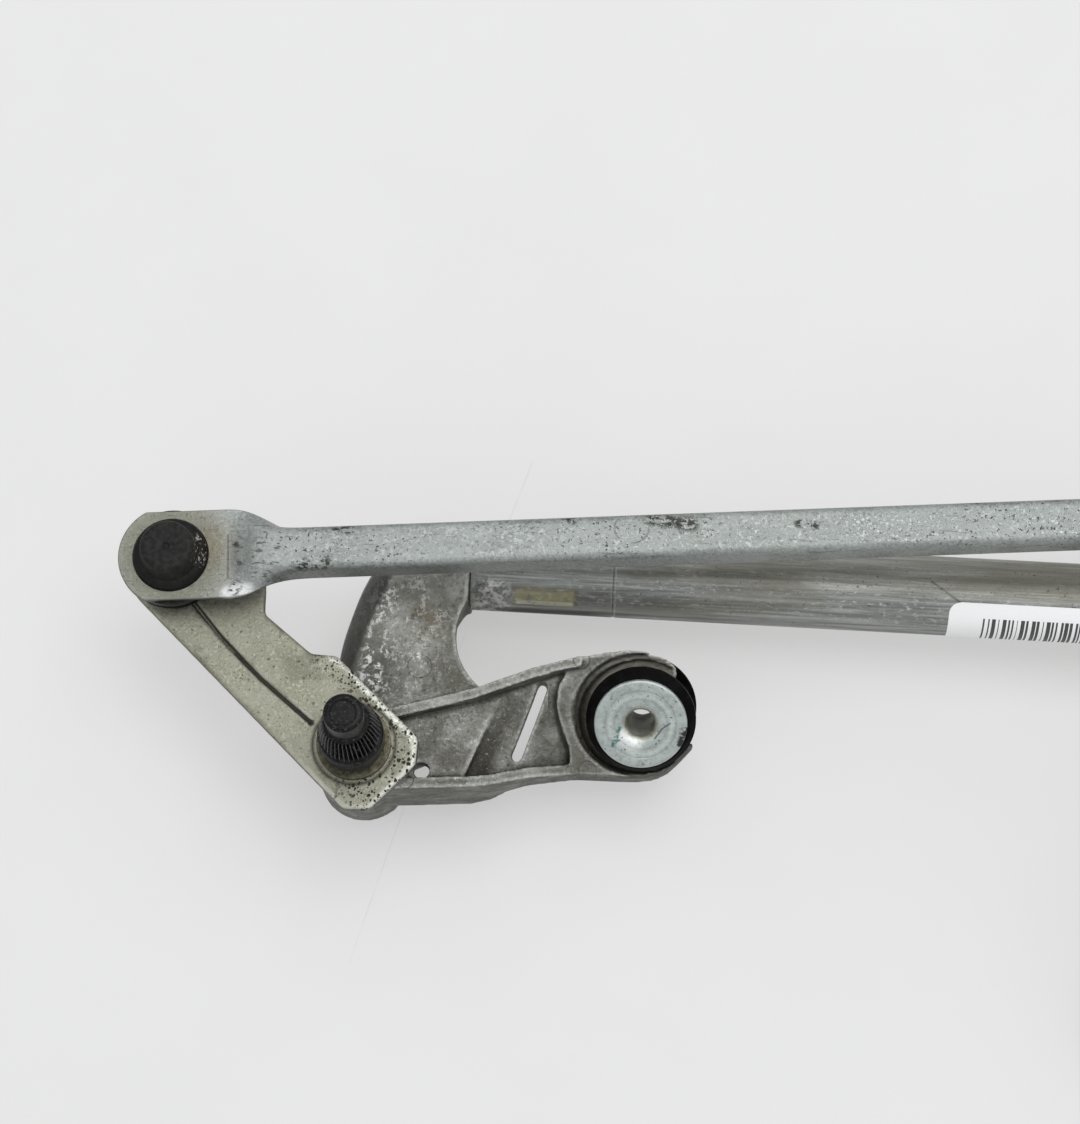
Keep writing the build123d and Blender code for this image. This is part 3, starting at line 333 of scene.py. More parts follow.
label_paper = finish("label_paper")
along, over = axes(label_paper)[:2]
bars = add(label_paper, "ShaderNodeTexNoise", {"W": along, "Scale": 1.1, "Detail": 1.0, "Roughness": 0.3},
           noise_dimensions="1D").outputs[0]
bars = both(label_paper, maths(label_paper, "GREATER_THAN", bars, 0.49),
            maths(label_paper, "GREATER_THAN", along, 153.2),
            maths(label_paper, "LESS_THAN", over, 45.0))
grubby = cloud(label_paper, 9, 0.55, 0.75, detail=5)
colour = layers(
    label_paper, tint(label_paper, both(label_paper, grubby, 0.4), (0.76, 0.76, 0.755), (0.6, 0.6, 0.57)),
    (bars, 1, (0.04, 0.04, 0.04)))
coat(label_paper, colour, 0.5, relief(label_paper, (grubby, 0.02)))
fit(label, label_paper, "frame", None)


# Left pivot housing: an aluminium die casting, dulled and chalked by weather, with its edges cast round.
# It is a copy of the solid relaxed over half a millimetre. Its spigot is pressed into the tube.

def dots(made, spacing, least, most, warp=0.4, hollow=0.0):
    """Round dots, one in each cell of a random pattern. Their radius lies between two shares of the spacing in
    millimetres, noise nudges their outline, and a hollow dot keeps only its rim."""
    noise = add(made, "ShaderNodeTexNoise", {"Vector": place(made), "Scale": 1200.0 / spacing, "Detail": 3.0})
    nudged = add(made, "ShaderNodeVectorMath", {
        0: noise.outputs["Color"], 1: [warp * spacing / 1000] * 3, 2: place(made),
    }, operation="MULTIPLY_ADD").outputs[0]
    cell = add(made, "ShaderNodeTexVoronoi", {"Vector": nudged, "Scale": 1000.0 / spacing})
    chance = add(made, "ShaderNodeSeparateXYZ", {0: cell.outputs["Color"]}).outputs[0]
    inside = maths(made, "SUBTRACT", blend(made, chance, least, most), cell.outputs["Distance"])
    disc = ramp(made, inside, 0.0, 0.08)
    if not hollow:
        return disc
    return both(made, disc, blend(made, ramp(made, inside, 0.1, 0.18), 1.0, 1 - hollow))


def ring(made, centre, radius, width, stretch=(1, 1, 1)):
    """A mask on a thin circle round one place."""
    off = maths(made, "ABSOLUTE", maths(made, "SUBTRACT", away(made, centre, stretch), radius), 0.0)
    return ramp(made, off, width, 0.0)


def edges(made, low, high):
    """A mask on edges or in corners, by how far the surface points outwards."""
    return ramp(made, add(made, "ShaderNodeNewGeometry").outputs["Pointiness"], low, high)


def flanks(made, level, steep):
    """A mask on steep faces, by how little their normal points up."""
    normal = add(made, "ShaderNodeNewGeometry").outputs["Normal"]
    return ramp(made, add(made, "ShaderNodeSeparateXYZ", {0: normal}).outputs[2], level, steep)


def relaxed(name, voxel, rounds):
    """A copy of a CAD node's surface, rebuilt on a fine grid and smoothed so that its edges turn round."""
    copy = bpy.data.objects.new(name + "_cast", nodes[name].data.copy())
    bpy.context.scene.collection.objects.link(copy)
    work = bmesh.new()
    work.from_mesh(copy.data)
    bmesh.ops.remove_doubles(work, verts=work.verts, dist=1e-6)
    work.to_mesh(copy.data)
    work.free()
    grid = copy.modifiers.new("grid", "REMESH")
    grid.mode, grid.voxel_size, grid.use_smooth_shade = "VOXEL", voxel / 1000, True
    ease = copy.modifiers.new("ease", "SMOOTH")
    ease.factor, ease.iterations = 0.5, rounds
    done = bpy.data.meshes.new_from_object(copy.evaluated_get(bpy.context.evaluated_depsgraph_get()))
    copy.modifiers.clear()
    copy.data = done
    done.materials.clear()
    return copy


def eased(at, knots, values, reach=2.0):
    """Straight lines between the knots, averaged over a reach to each side so that corners turn softly."""
    return np.interp(at[:, None] + np.linspace(-reach, reach, 9), knots, values).mean(1)


EYE, LEAN = np.array((69.2, 13.4, -29.4)), radians(36)
EYE_AXIS = np.array((0, -np.sin(LEAN), np.cos(LEAN)))

cast_skin = finish("cast_skin")
along, over = axes(cast_skin)[:2]
mottle = cloud(cast_skin, 3.6, 0.36, 0.64, detail=9, rough=0.75)
grain = cloud(cast_skin, 1.1, 0.42, 0.62, detail=8, rough=0.75)
grime = cloud(cast_skin, 16, 0.42, 0.6, detail=6)
specks = cloud(cast_skin, 0.8, 0.6, 0.67)
pits = cloud(cast_skin, 0.6, 0.6, 0.68)
patches = cloud(cast_skin, 4.5, 0.48, 0.54, stretch=(1, 0.6, 1), turn=(0, 0, 12), detail=7, rough=0.7)
flakes = cloud(cast_skin, 1.5, 0.505, 0.54, detail=6, rough=0.7)
bubbles = dots(cast_skin, 2.6, 0.1, 0.42, warp=1.6, hollow=0.75)
# corners holds dirt and painted shade in the casting's inside corners; rims holds its worn outside edges.
corners, rims = edges(cast_skin, 0.495, 0.47), edges(cast_skin, 0.507, 0.535)
arm = spot(cast_skin, (5, 36, -31), 24, 13, stretch=(1.25, 0.75, 0.2))
crusted = either(cast_skin, both(cast_skin, arm, 0.45), line(cast_skin, (-1, 43, -31), (4, 37, -31), 9, 3),
                 line(cast_skin, (2.5, 37, -31), (1.5, 19, -31), 4.5, 2))
chalky = both(cast_skin, crusted, patches, either(cast_skin, both(cast_skin, flakes, 0.85), bubbles))
for centre, reach in (((12.7, 26.3, -31), 2.2), ((2.8, 23.2, -31), 1.6), ((1.2, 19.1, -31), 1.8),
                      ((-0.6, 41.1, -31), 2.2), ((3.7, 41.4, -31), 1.4)):
    lump = both(cast_skin, spot(cast_skin, centre, reach, reach / 3), either(cast_skin, flakes, bubbles))
    chalky = either(cast_skin, chalky, lump)
# Painted shade on the arm's steep left flank.
arm_flank_shade = either(cast_skin, line(cast_skin, (-8.0, 20, -33), (-5.0, 31, -33), 5.5, 3.0),
                    line(cast_skin, (-5.0, 31, -33), (0.5, 46, -33), 5.0, 3.0))
height = vectors(cast_skin, "DOT_PRODUCT", place_mm(cast_skin), EYE_AXIS)
# Painted shade in the eye's recess below its rim, with a darker painted shadow on its left and near parts, where the
# rubber ring shades them.
inner = both(cast_skin, between(cast_skin, height, -60, -32.4, 0.3), spot(cast_skin, (69.2, 13.4, -31), 18.0, 16.4))
recess_shadow = both(cast_skin, inner, either(cast_skin, between(cast_skin, along, 40, 57.5, 2.5),
                                      between(cast_skin, over, -20, 12, 3)))
# Painted shade on steep faces, less of it on the eye's far side, streaked by the drawn noise.
steep_side_shade = both(cast_skin, flanks(cast_skin, 0.72, 0.3),
             blend(cast_skin, spot(cast_skin, (70, 23, -36), 15, 12), 1.0, 0.25))
# Painted shadow: a dark band along the low side of the tray floor's slanted step, and on along its far end.
slope = line(cast_skin, (36.8, 18.2, -34), (29.2, -3.6, -34), 4.2, 1.2)
far_step_shadow = line(cast_skin, (40, 20.5, -33), (36, 12, -34), 6.0, 1.0)
stain = both(cast_skin, spot(cast_skin, (13.5, 35, -31), 8.0, 1.0), cloud(cast_skin, 3, 0.35, 0.6, detail=6))
nub = ring(cast_skin, (53.9, 24.4, -21.5), 2.0, 0.22, stretch=(1, 1, 0.3))
for centre, radius in (((56.6, 1.0, -39), 2.2), ((10.0, 11.1, -28), 2.0), ((12.5, -6.5, -28), 2.0),
                       ((13.4, 23.5, -31.6), 3.0)):
    nub = either(cast_skin, nub, ring(cast_skin, centre, radius, 0.22, stretch=(1, 1, 0.3)))
soot = cloud(cast_skin, 1.0, 0.58, 0.64, detail=6)
drawn = cloud(cast_skin, 2.2, 0.42, 0.62, stretch=(0.2, 1, 1), detail=7, rough=0.7)
colour = layers(
    cast_skin, tint(cast_skin, mottle, (0.16, 0.157, 0.135), (0.4, 0.397, 0.362)),
    (arm, 0.3, (0.52, 0.52, 0.48)),
    (grain, 0.6, (0.46, 0.46, 0.425)),
    (grime, 0.6, (0.1, 0.095, 0.07)),
    # Painted shade in the eye's recess.
    (inner, 0.5, (0.2, 0.18, 0.13)),
    # Dust and painted light: the far part of the recess is painted lighter, where light falls on it.
    (both(cast_skin, inner, between(cast_skin, over, 18, 60, 3)), 0.7, (0.5, 0.48, 0.4)),
    (stain, 0.7, (0.2, 0.165, 0.1)),
    # Painted shadow along the tray floor's step.
    (either(cast_skin, slope, far_step_shadow), 0.82, (0.04, 0.036, 0.025)),
    (specks, 0.5, (0.5, 0.5, 0.47)),
    (soot, 0.45, (0.05, 0.05, 0.042)),
    # Dirt and painted shade in the inside corners.
    (corners, 0.75, (0.035, 0.033, 0.024)),
    (spot(cast_skin, (-2, 20, -31), 14, 4), 0.6, (0.07, 0.07, 0.058)),
    (chalky, 1, (0.85, 0.85, 0.82)),
    (both(cast_skin, rims, blend(cast_skin, grain, 0.35, 1.0)), 0.9, (0.66, 0.66, 0.62)),
    (arm_flank_shade, 0.85, (0.035, 0.037, 0.031)),
    (recess_shadow, 0.7, (0.03, 0.028, 0.02)),
    (both(cast_skin, steep_side_shade, blend(cast_skin, drawn, 0.85, 0.45)), 1, (0.055, 0.056, 0.048)),
    (nub, 0.5, (0.04, 0.04, 0.03)))
bumps = relief(cast_skin, (mottle, 0.15), (grain, 0.1), (pits, -0.07), (chalky, 0.1), (nub, -0.15))
coat(cast_skin, colour, blend(cast_skin, grain, 0.42, 0.6), bumps, 0.8)
housing = relaxed("left_pivot_housing", 0.55, 3)
# The tray's end wall curls round the eye: points near it move along X by a curve over Y, less on both sides.
WALL_X, WALL_NEAR, WALL_FAR = 50.3, 4.8, 2.7
points = np.empty(len(housing.data.vertices) * 3)
housing.data.vertices.foreach_get("co", points)
points = points.reshape(-1, 3)
curl = eased(points[:, 1] * 1000, [0.5, 3, 6, 10, 14.5, 19, 24, 26.5], [0, 0.5, 1.1, -0.4, -1.8, -2.1, 0.2, 0], 1.5)
off_wall = points[:, 0] * 1000 - WALL_X
curl *= smooth(1.6 * (1 - np.abs(off_wall) / np.where(off_wall > 0, WALL_FAR, WALL_NEAR)))
points[:, 0] += curl / 1000
housing.data.vertices.foreach_set("co", points.ravel())
fit(housing, cast_skin, "frame", "cast_aluminium", "left_pivot_housing")


# Right pivot housing and gear case: die castings of the same alloy, cleaner than the left one.
# They keep the solids' own meshes, so their finish has no wear on the edges.

def dress(made, *names):
    """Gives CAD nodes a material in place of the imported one."""
    for name in names:
        slots = nodes[name].data.materials
        slots.clear()
        slots.append(made)


fresh_cast = finish("fresh_cast")
mottle = cloud(fresh_cast, 3.6, 0.36, 0.64, detail=9, rough=0.75)
grain = cloud(fresh_cast, 1.1, 0.42, 0.62, detail=8, rough=0.75)
pits = cloud(fresh_cast, 0.6, 0.6, 0.68)
colour = layers(
    fresh_cast, tint(fresh_cast, mottle, (0.2, 0.198, 0.175), (0.36, 0.358, 0.33)),
    (grain, 0.5, (0.45, 0.45, 0.42)))
coat(fresh_cast, colour, blend(fresh_cast, grain, 0.42, 0.58),
     relief(fresh_cast, (mottle, 0.08), (grain, 0.05), (pits, -0.06)), 0.8)
dress(fresh_cast, "right_pivot_housing", "gear_case")


# Drag link and drive link: channels pressed from 1.6 mm steel and zinc plated, flat at each end round a ball.
# The motor bracket and the crank arm are pressed and plated alike.

def pressed_link(name, ball, length, slope, plates, holes, bend=2.3, sheet=1.6):
    """A strip bent across the link: flat top, a bend that follows a parabola, then the flank down to its edge.
    Rows run along the link, and the inner face is the outer one moved in by the sheet's thickness.
    Each end plate is a polar grid. Its rim is the strip's first line, the plate's sides and a circle."""
    start, channel_top, foot, half_plate, end_radius = 13.9, -8.5, -16.5, 11.4, 13
    near = [start + 2, 18.5, 21, 24, 29, 33.5]
    rise = [start + 0.9, 18.5, 21, 24, 29, 33.5]
    knots, rises = [k + [length - one for one in reversed(k)] for k in (near, rise)]

    def ends(values):
        first, last = values(plates[0]), values(plates[1])
        return first + last[::-1]

    top = ends(lambda p: [p, p + (channel_top - p) * 0.45, p + (channel_top - p) * 0.85] + [channel_top] * 3)
    edge = ends(lambda p: [p, min(p, channel_top) - 0.3, min(p, channel_top) - 0.7, -12.1, -15.5, foot])
    half_edge = ends(lambda p: [half_plate, 10.95, 10.0, 8.4, 6.15, 5.62])
    half_top = ends(lambda p: [5.4, 5.4, 5.4, 5.5, 5.6, 5.6])
    s = places((start, 36, 90), (36, length - 36, 60), (length - 36, length - start, 90))
    top = eased(s, rises, top, 0.9)[:, None]
    edge, half_edge, half_top = [eased(s, knots, v)[:, None] for v in (edge, half_edge, half_top)]
    flat, arc, flank = np.linspace(0, 1, 6)[:-1], np.linspace(0, 1, 10)[:-1], np.linspace(0, 1, 8)
    length_down = np.hypot(half_edge - half_top, top - edge) + 1e-9
    out_y, out_z = (half_edge - half_top) / length_down, (edge - top) / length_down
    back = np.minimum(bend, length_down * 0.6)

    def parabola(first, middle, last):
        return first * (1 - arc) ** 2 + 2 * middle * arc * (1 - arc) + last * arc ** 2

    y = np.concatenate([
        (half_top - back) * flat,
        parabola(half_top - back, half_top, half_top + back * out_y),
        half_top + back * out_y + (half_edge - half_top - back * out_y) * flank], 1)
    z = np.concatenate([
        top + 0 * flat,
        parabola(top, top, top + back * out_z),
        top + back * out_z + (edge - top - back * out_z) * flank], 1)
    y, z = np.concatenate([-y[:, :0:-1], y], 1), np.concatenate([z[:, :0:-1], z], 1)
    along_y, along_z = np.gradient(y, axis=1), np.gradient(z, axis=1)
    size = np.hypot(along_y, along_z)
    outer = np.stack([s[:, None] + 0 * y, y, z], 2)
    inner = np.stack([s[:, None] + 0 * y, y + sheet * along_z / size, z - sheet * along_y / size], 2)
    grids = [outer, inner] + closing(outer.swapaxes(0, 1), inner.swapaxes(0, 1))
    for end, (height, hole) in enumerate(zip(plates, holes)):
        corner = np.arctan2(half_plate, start)
        facing = np.arctan2(y[-end], start)
        angle = np.concatenate([facing[:-1], np.linspace(corner, 2 * np.pi - corner, 90)])
        angle = np.append(angle[:-1], facing[0] + 2 * np.pi)
        cosine, sine = np.cos(angle), np.abs(np.sin(angle)) + 1e-9
        side = half_plate / sine
        rim = np.where(cosine > 0, np.minimum(start / np.maximum(cosine, 1e-9), side), np.minimum(end_radius, side))
        out = hole + (rim - hole) * np.linspace(0, 1, 9)[:, None]
        px, py = out * np.cos(angle), out * np.sin(angle)
        if end:
            px = length - px
        faces = [np.stack([px, py, np.full_like(px, level)], 2) for level in (height, height - sheet)]
        hole_wall, rim_wall = closing(*faces)
        grids += faces + [rim_wall[:, len(facing) - 1:]] + [hole_wall] * bool(hole)
    cosine, sine = np.cos(radians(slope)), np.sin(radians(slope))
    grids = [np.stack([ball[0] + g[..., 0] * cosine - g[..., 1] * sine,
                       ball[1] + g[..., 0] * sine + g[..., 1] * cosine, g[..., 2]], 2) for g in grids]
    return woven(name, grids, merge=2e-6, bevel=0.4)


LEFT_BALL, RIGHT_BALL, DRIVE_BALL = (-48.008, 42.474), (310.394, 76.353), (392.105, 4.061)
PLATE, CRANK_PLATE, CUP_HOLE = -11.0, -5.0, 9.2
cap = (-48, 42.5, PLATE)

link_zinc = finish("link_zinc")
mottle = cloud(link_zinc, 7, 0.35, 0.65, stretch=(0.5, 1, 1), detail=8, rough=0.7)
fine = cloud(link_zinc, 0.9, 0.42, 0.6, detail=8, rough=0.75)
specks = cloud(link_zinc, 0.8, 0.6, 0.66)
wide = cloud(link_zinc, 26, 0.47, 0.58, stretch=(0.5, 1, 1))
scrapes = cloud(link_zinc, 1.2, 0.6, 0.68, stretch=(0.08, 1, 1), turn=(0, 0, -28))
scuffed = line(link_zinc, (-15.5, 40.8, -8.5), (-9.5, 41.6, -8.5), 2.6, 0.6)
for start, end, reach in (
        ((-7.5, 50.8, -8.5), (-3, 50.7, -8.5), 2.0), ((-31.6, 34.2, -11), (-31.0, 35.4, -11), 2.0),
        ((-32.4, 46.3, -11), (-31.8, 45.7, -11), 1.2), ((69, 57.6, -8.5), (79, 56.6, -8.5), 2.6),
        ((105, 58.4, -8.5), (109, 58, -8.5), 1.6), ((128, 51.6, -10), (131, 51.2, -10), 1.8),
        ((48, 56.8, -8.5), (50, 56, -8.5), 1.5), ((97, 49.3, -10), (100, 48.5, -10), 1.3)):
    scuffed = either(link_zinc, scuffed, line(link_zinc, start, end, reach, reach / 4))
scuffed = both(link_zinc, scuffed, cloud(link_zinc, 1.5, 0.49, 0.53, stretch=(0.6, 1, 1), detail=6, rough=0.7))
dent = both(link_zinc, ring(link_zinc, (64.5, 54.8, -8.5), 3.8, 0.4, stretch=(0.9, 1, 0.2)),
            cloud(link_zinc, 3, 0.4, 0.55))
freckles = both(link_zinc, spot(link_zinc, (-25, 43, -9), 13, 5),
                cloud(link_zinc, 1.0, 0.57, 0.63, stretch=(0.35, 1, 1), turn=(0, 0, 14), detail=5))
# A thin groove across the crease where the left end plate meets the rise, with painted shade along it.
fold_shade = both(link_zinc, line(link_zinc, (-34.5, 48.3, -11), (-33.5, 37.5, -11), 0.4, 0.1), 0.7)
# Painted shade on the rise from the left end plate up to the channel.
hollow = spot(link_zinc, (-30.6, 43.5, -10.5), 4.2, 1.5, stretch=(1, 0.6, 1))
polished = line(link_zinc, (-33, 33.6, -11), (-28.5, 34.6, -11), 2.6, 0.6)
# Painted shade on the steep rim walls round the left end plate.
plate_rim_shade = both(link_zinc, flanks(link_zinc, 0.6, 0.2), spot(link_zinc, cap, 19, 16))
cap_dirt = spot(link_zinc, cap, 17, 10)
rust = both(link_zinc, spot(link_zinc, (-38.3, 45.5, -11), 6.5, 1.5, stretch=(1.3, 0.8, 1)),
            cloud(link_zinc, 2, 0.3, 0.6, detail=6))
colour = layers(
    link_zinc, tint(link_zinc, mottle, (0.185, 0.198, 0.188), (0.275, 0.292, 0.278)),
    (fine, 0.55, (0.38, 0.4, 0.385)),
    (spot(link_zinc, cap, 18, 15), 0.45, (0.27, 0.262, 0.215)),
    (cap_dirt, 0.6, (0.15, 0.145, 0.105)),
    (rust, 0.6, (0.17, 0.13, 0.08)),
    (both(link_zinc, specks, blend(link_zinc, wide, 0.25, 0.95)), 1, (0.045, 0.045, 0.04)),
    # Painted shade on the rise.
    (hollow, 0.35, (0.15, 0.155, 0.14)),
    (polished, 0.6, (0.7, 0.71, 0.69)),
    (plate_rim_shade, 0.7, (0.04, 0.04, 0.035)),
    (scuffed, 0.92, (0.03, 0.03, 0.025)),
    (freckles, 0.7, (0.05, 0.05, 0.045)),
    (either(link_zinc, dent, fold_shade), 0.6, (0.07, 0.07, 0.065)),
    (scrapes, 0.5, (0.09, 0.09, 0.08)))
bumps = relief(link_zinc, (specks, -0.04), (fine, 0.03), (mottle, 0.04), (scuffed, -0.1), (fold_shade, -0.1))
coat(link_zinc, colour, blend(link_zinc, mottle, 0.42, 0.55), bumps, 0.9)
drag = pressed_link("drag_link_skin", LEFT_BALL, 360.0, 5.4, (PLATE, PLATE), (CUP_HOLE, CUP_HOLE))
fit(drag, link_zinc, "drag_link", "link_steel", "drag_link")
drive = pressed_link("drive_link_skin", DRIVE_BALL, 110.0, 185.4, (PLATE, CRANK_PLATE), (CUP_HOLE, 0.0))
fit(drive, link_zinc, "drive_link", "link_steel", "drive_link")
dress(link_zinc, "motor_bracket", "crank_arm")


# Levers: pressed steel plate, plated yellowish grey and speckled where rust comes through the plating.
# Each is held on its spindle by a swaged ring, and its ball studs are riveted in.

lever_plate = finish("lever_plate")
mottle = cloud(lever_plate, 6, 0.35, 0.65, detail=8, rough=0.7)
fine = cloud(lever_plate, 0.8, 0.42, 0.6, detail=8, rough=0.75)
specks = either(lever_plate, cloud(lever_plate, 0.7, 0.63, 0.68, detail=3), dots(lever_plate, 1.5, -0.5, 0.3))
blots = either(lever_plate, dots(lever_plate, 1.3, -0.25, 0.5, warp=0.8), dots(lever_plate, 0.8, 0.0, 0.5))
# Bright edges: worn plating on the outer edges near the spindle, and along the lever's right edge a speckled band of
# worn plating with a painted highlight.
wear_and_edge_highlight = both(lever_plate, edges(lever_plate, 0.505, 0.53), spot(lever_plate, (6, 2, -21), 26, 12))
edge_points = np.array(((-7.6, 22), (-3.6, 19.8), (1.6, 14.2), (6.7, 9.6), (11.8, 5), (14.9, 1.4), (15.3, -3.4),
                        (11.1, -9.4), (6.4, -15)))
worn_lit_edge = rusty = 0.0
for start, end in zip(edge_points[:-1], edge_points[1:]):
    worn_lit_edge = either(lever_plate, worn_lit_edge, line(lever_plate, (*start, -21), (*end, -21), 1.9, 0.3))
    rusty = either(lever_plate, rusty, line(lever_plate, (*start, -21), (*end, -21), 6.5, 2.0))
worn_lit_edge = both(lever_plate, worn_lit_edge, cloud(lever_plate, 1.4, 0.44, 0.53, detail=8, rough=0.75))
wear_and_edge_highlight = either(lever_plate, wear_and_edge_highlight, worn_lit_edge)
corner = either(lever_plate, spot(lever_plate, (9, -9, -21), 16, 8), rusty)
# Painted shade in the pressed groove that runs from the ball stud towards the spindle.
groove_shade = either(
    lever_plate, line(lever_plate, (-46.1, 38.1, -21.5), (-34.9, 25.5, -21.5), 0.6, 0.3),
    line(lever_plate, (-34.9, 25.5, -21.5), (-24.5, 15.3, -21.5), 0.7, 0.3),
    both(lever_plate, line(lever_plate, (-47.1, 37.1, -21.5), (-30.0, 19.8, -21.5), 0.45, 0.15), 0.75),
    line(lever_plate, (-31.0, 21.2, -21.5), (-24.5, 15.3, -21.5), 0.95, 0.3),
    line(lever_plate, (-24.5, 15.3, -21.5), (-10.9, 4.65, -21.5), 0.95, 0.3),
    spot(lever_plate, (-10.9, 4.65, -21.5), 1.2, 0.7))
# Painted shade in the gap between the lever and the swaged ring.
seat_gap_shade = ring(lever_plate, (0, 0, -21), 10.1, 0.8)
# Painted shade on the lever's steep side walls.
steep_side_shade = flanks(lever_plate, 0.6, 0.2)
colour = layers(
    lever_plate, tint(lever_plate, mottle, (0.195, 0.192, 0.145), (0.275, 0.272, 0.215)),
    (fine, 0.5, (0.36, 0.355, 0.29)),
    (cloud(lever_plate, 9, 0.5, 0.62, detail=6), 0.5, (0.13, 0.125, 0.09)),
    (wear_and_edge_highlight, 0.85, (0.68, 0.68, 0.62)),
    (steep_side_shade, 0.75, (0.06, 0.058, 0.045)),
    (both(lever_plate, specks, blend(lever_plate, corner, 0.55, 0.95)), 1, (0.035, 0.035, 0.028)),
    (both(lever_plate, blots, corner), 1, (0.03, 0.03, 0.025)),
    (groove_shade, 0.92, (0.02, 0.02, 0.016)),
    (seat_gap_shade, 0.85, (0.025, 0.024, 0.018)))
bumps = relief(lever_plate, (specks, -0.06), (fine, 0.03), (both(lever_plate, blots, corner), -0.12), (mottle, 0.05))
coat(lever_plate, colour, blend(lever_plate, mottle, 0.42, 0.54), bumps, 0.9)
fit(relaxed("left_lever", 0.38, 3), lever_plate, "left_lever", "lever_steel", "left_lever")
dress(lever_plate, "right_lever")


# Swaged rings: steel collars squeezed tight round the spindles on top of the levers, dark with old grease.
# The squeezing leaves them grainy.

swaged = finish("swaged")
grain = cloud(swaged, 1.2, 0.38, 0.62, detail=8, rough=0.75)
pocks = cloud(swaged, 0.8, 0.6, 0.66)
colour = layers(
    swaged, tint(swaged, grain, (0.055, 0.05, 0.033), (0.15, 0.14, 0.098)),
    (pocks, 0.8, (0.03, 0.03, 0.02)))
coat(swaged, colour, blend(swaged, grain, 0.36, 0.5), relief(swaged, (grain, 0.04), (pocks, -0.05)), 0.85)
dress(swaged, "left_lever_ring", "right_lever_ring")


# Spindles: turned from steel and knurled on the cone that grips the wiper arm, then hardened and coated black.
# Each turns with its lever in two bushes.

RIDGES, RIDGE_HEIGHT = 40, 1.05


def spindle_skin(name, centre, foot, body):
    """A radius for every height and angle: a turned profile, less grooves on the cone.
    The grooves' depth is a triangle wave round the axis, and it fades out at both ends of the cone."""
    profile = np.array([
        (0, foot), (4.4, foot), (5, foot + 0.6), (5, foot + 1), (4.2, foot + 1.0), (4.2, foot + 2.1),
        (5, foot + 2.1), (5, -24), (6.5, -24), (6.5, -16.5), (7.6, -16.5), (8, -16.1), (8, -11.3),
        (7.7, -10.7), (7.2, -10.5), (7.15, -10.3), (7.4, -9.6), (7.4, -8), (6.9, -5), (6.1, -1),
        (5.7, -0.25), (5.3, 0), (4.95, 0.15), (4.75, 0.5), (4.78, 3), (4.8, 6.6), (4.75, 7.3),
        (4.5, 7.75), (4.0, 7.95), (3.4, 8.0), (3.1, 7.8), (2.9, 7.6), (0, 7.6)])
    step = np.linspace(0, 1, 7)[:-1]
    spans = [a + (b - a) * step[:, None] for a, b in zip(profile[:-1], profile[1:])]
    fine = np.concatenate(spans + [profile[-1:]])
    turn = np.linspace(0, 2 * np.pi, 12 * RIDGES + 1)
    ridge = 1 - np.abs(1 - 2 * (turn * RIDGES / (2 * np.pi) % 1))
    on_cone = np.clip((fine[:, 1] + 10.35) / 0.5, 0, 1) * np.clip((-0.1 - fine[:, 1]) / 0.6, 0, 1)
    radius = fine[:, :1] - RIDGE_HEIGHT * on_cone[:, None] * (1 - ridge ** 0.8)
    grid = np.stack([centre[0] + radius * np.cos(turn), centre[1] + radius * np.sin(turn), fine[:, 1:] + 0 * turn], 2)
    return fit(woven(name + "_skin", [grid], crease=40), black_coat, body, "black_steel", name)


black_coat = finish("black_coat")
wear = cloud(black_coat, 3, 0.4, 0.7)
scuff = cloud(black_coat, 0.7, 0.56, 0.66, detail=6)
# Painted highlight on the knurl's ridges.
ridge_highlight = both(black_coat, edges(black_coat, 0.52, 0.6), between(black_coat, axes(black_coat)[2], -10.4, -0.4, 0.2))
colour = layers(
    black_coat, tint(black_coat, wear, (0.003, 0.003, 0.0033), (0.01, 0.01, 0.0105)),
    (scuff, 0.4, (0.1, 0.1, 0.1)),
    (ridge_highlight, 0.9, (0.2, 0.2, 0.2)))
bumps = relief(black_coat, (wear, 0.03), (scuff, 0.02))
coat(black_coat, colour, blend(black_coat, wear, 0.26, 0.42), bumps, **{"Specular IOR Level": 0.12})
spindle_skin("left_spindle", (0, 0), -57.5, "left_lever")
spindle_skin("right_spindle", (358.402, 33.879), -62.0, "right_lever")


# Motor can: drawn from sheet steel and painted black.
# Two screws through its ears hold it to the gear case.

can_paint = finish("can_paint")
peel = cloud(can_paint, 1.6, 0.35, 0.65)
rubbed = cloud(can_paint, 9, 0.56, 0.7, detail=6)
colour = tint(can_paint, rubbed, (0.012, 0.012, 0.013), (0.035, 0.035, 0.036))
coat(can_paint, colour, blend(can_paint, rubbed, 0.28, 0.45), relief(can_paint, (peel, 0.015)),
     **{"Specular IOR Level": 0.4})
dress(can_paint, "motor_can")


# Ball cups: black plastic, moulded with a closed cap that is pressed up through the link's end plate.
# They snap over the balls. The gear cover, brush plate and plug socket are moulded of the same plastic.

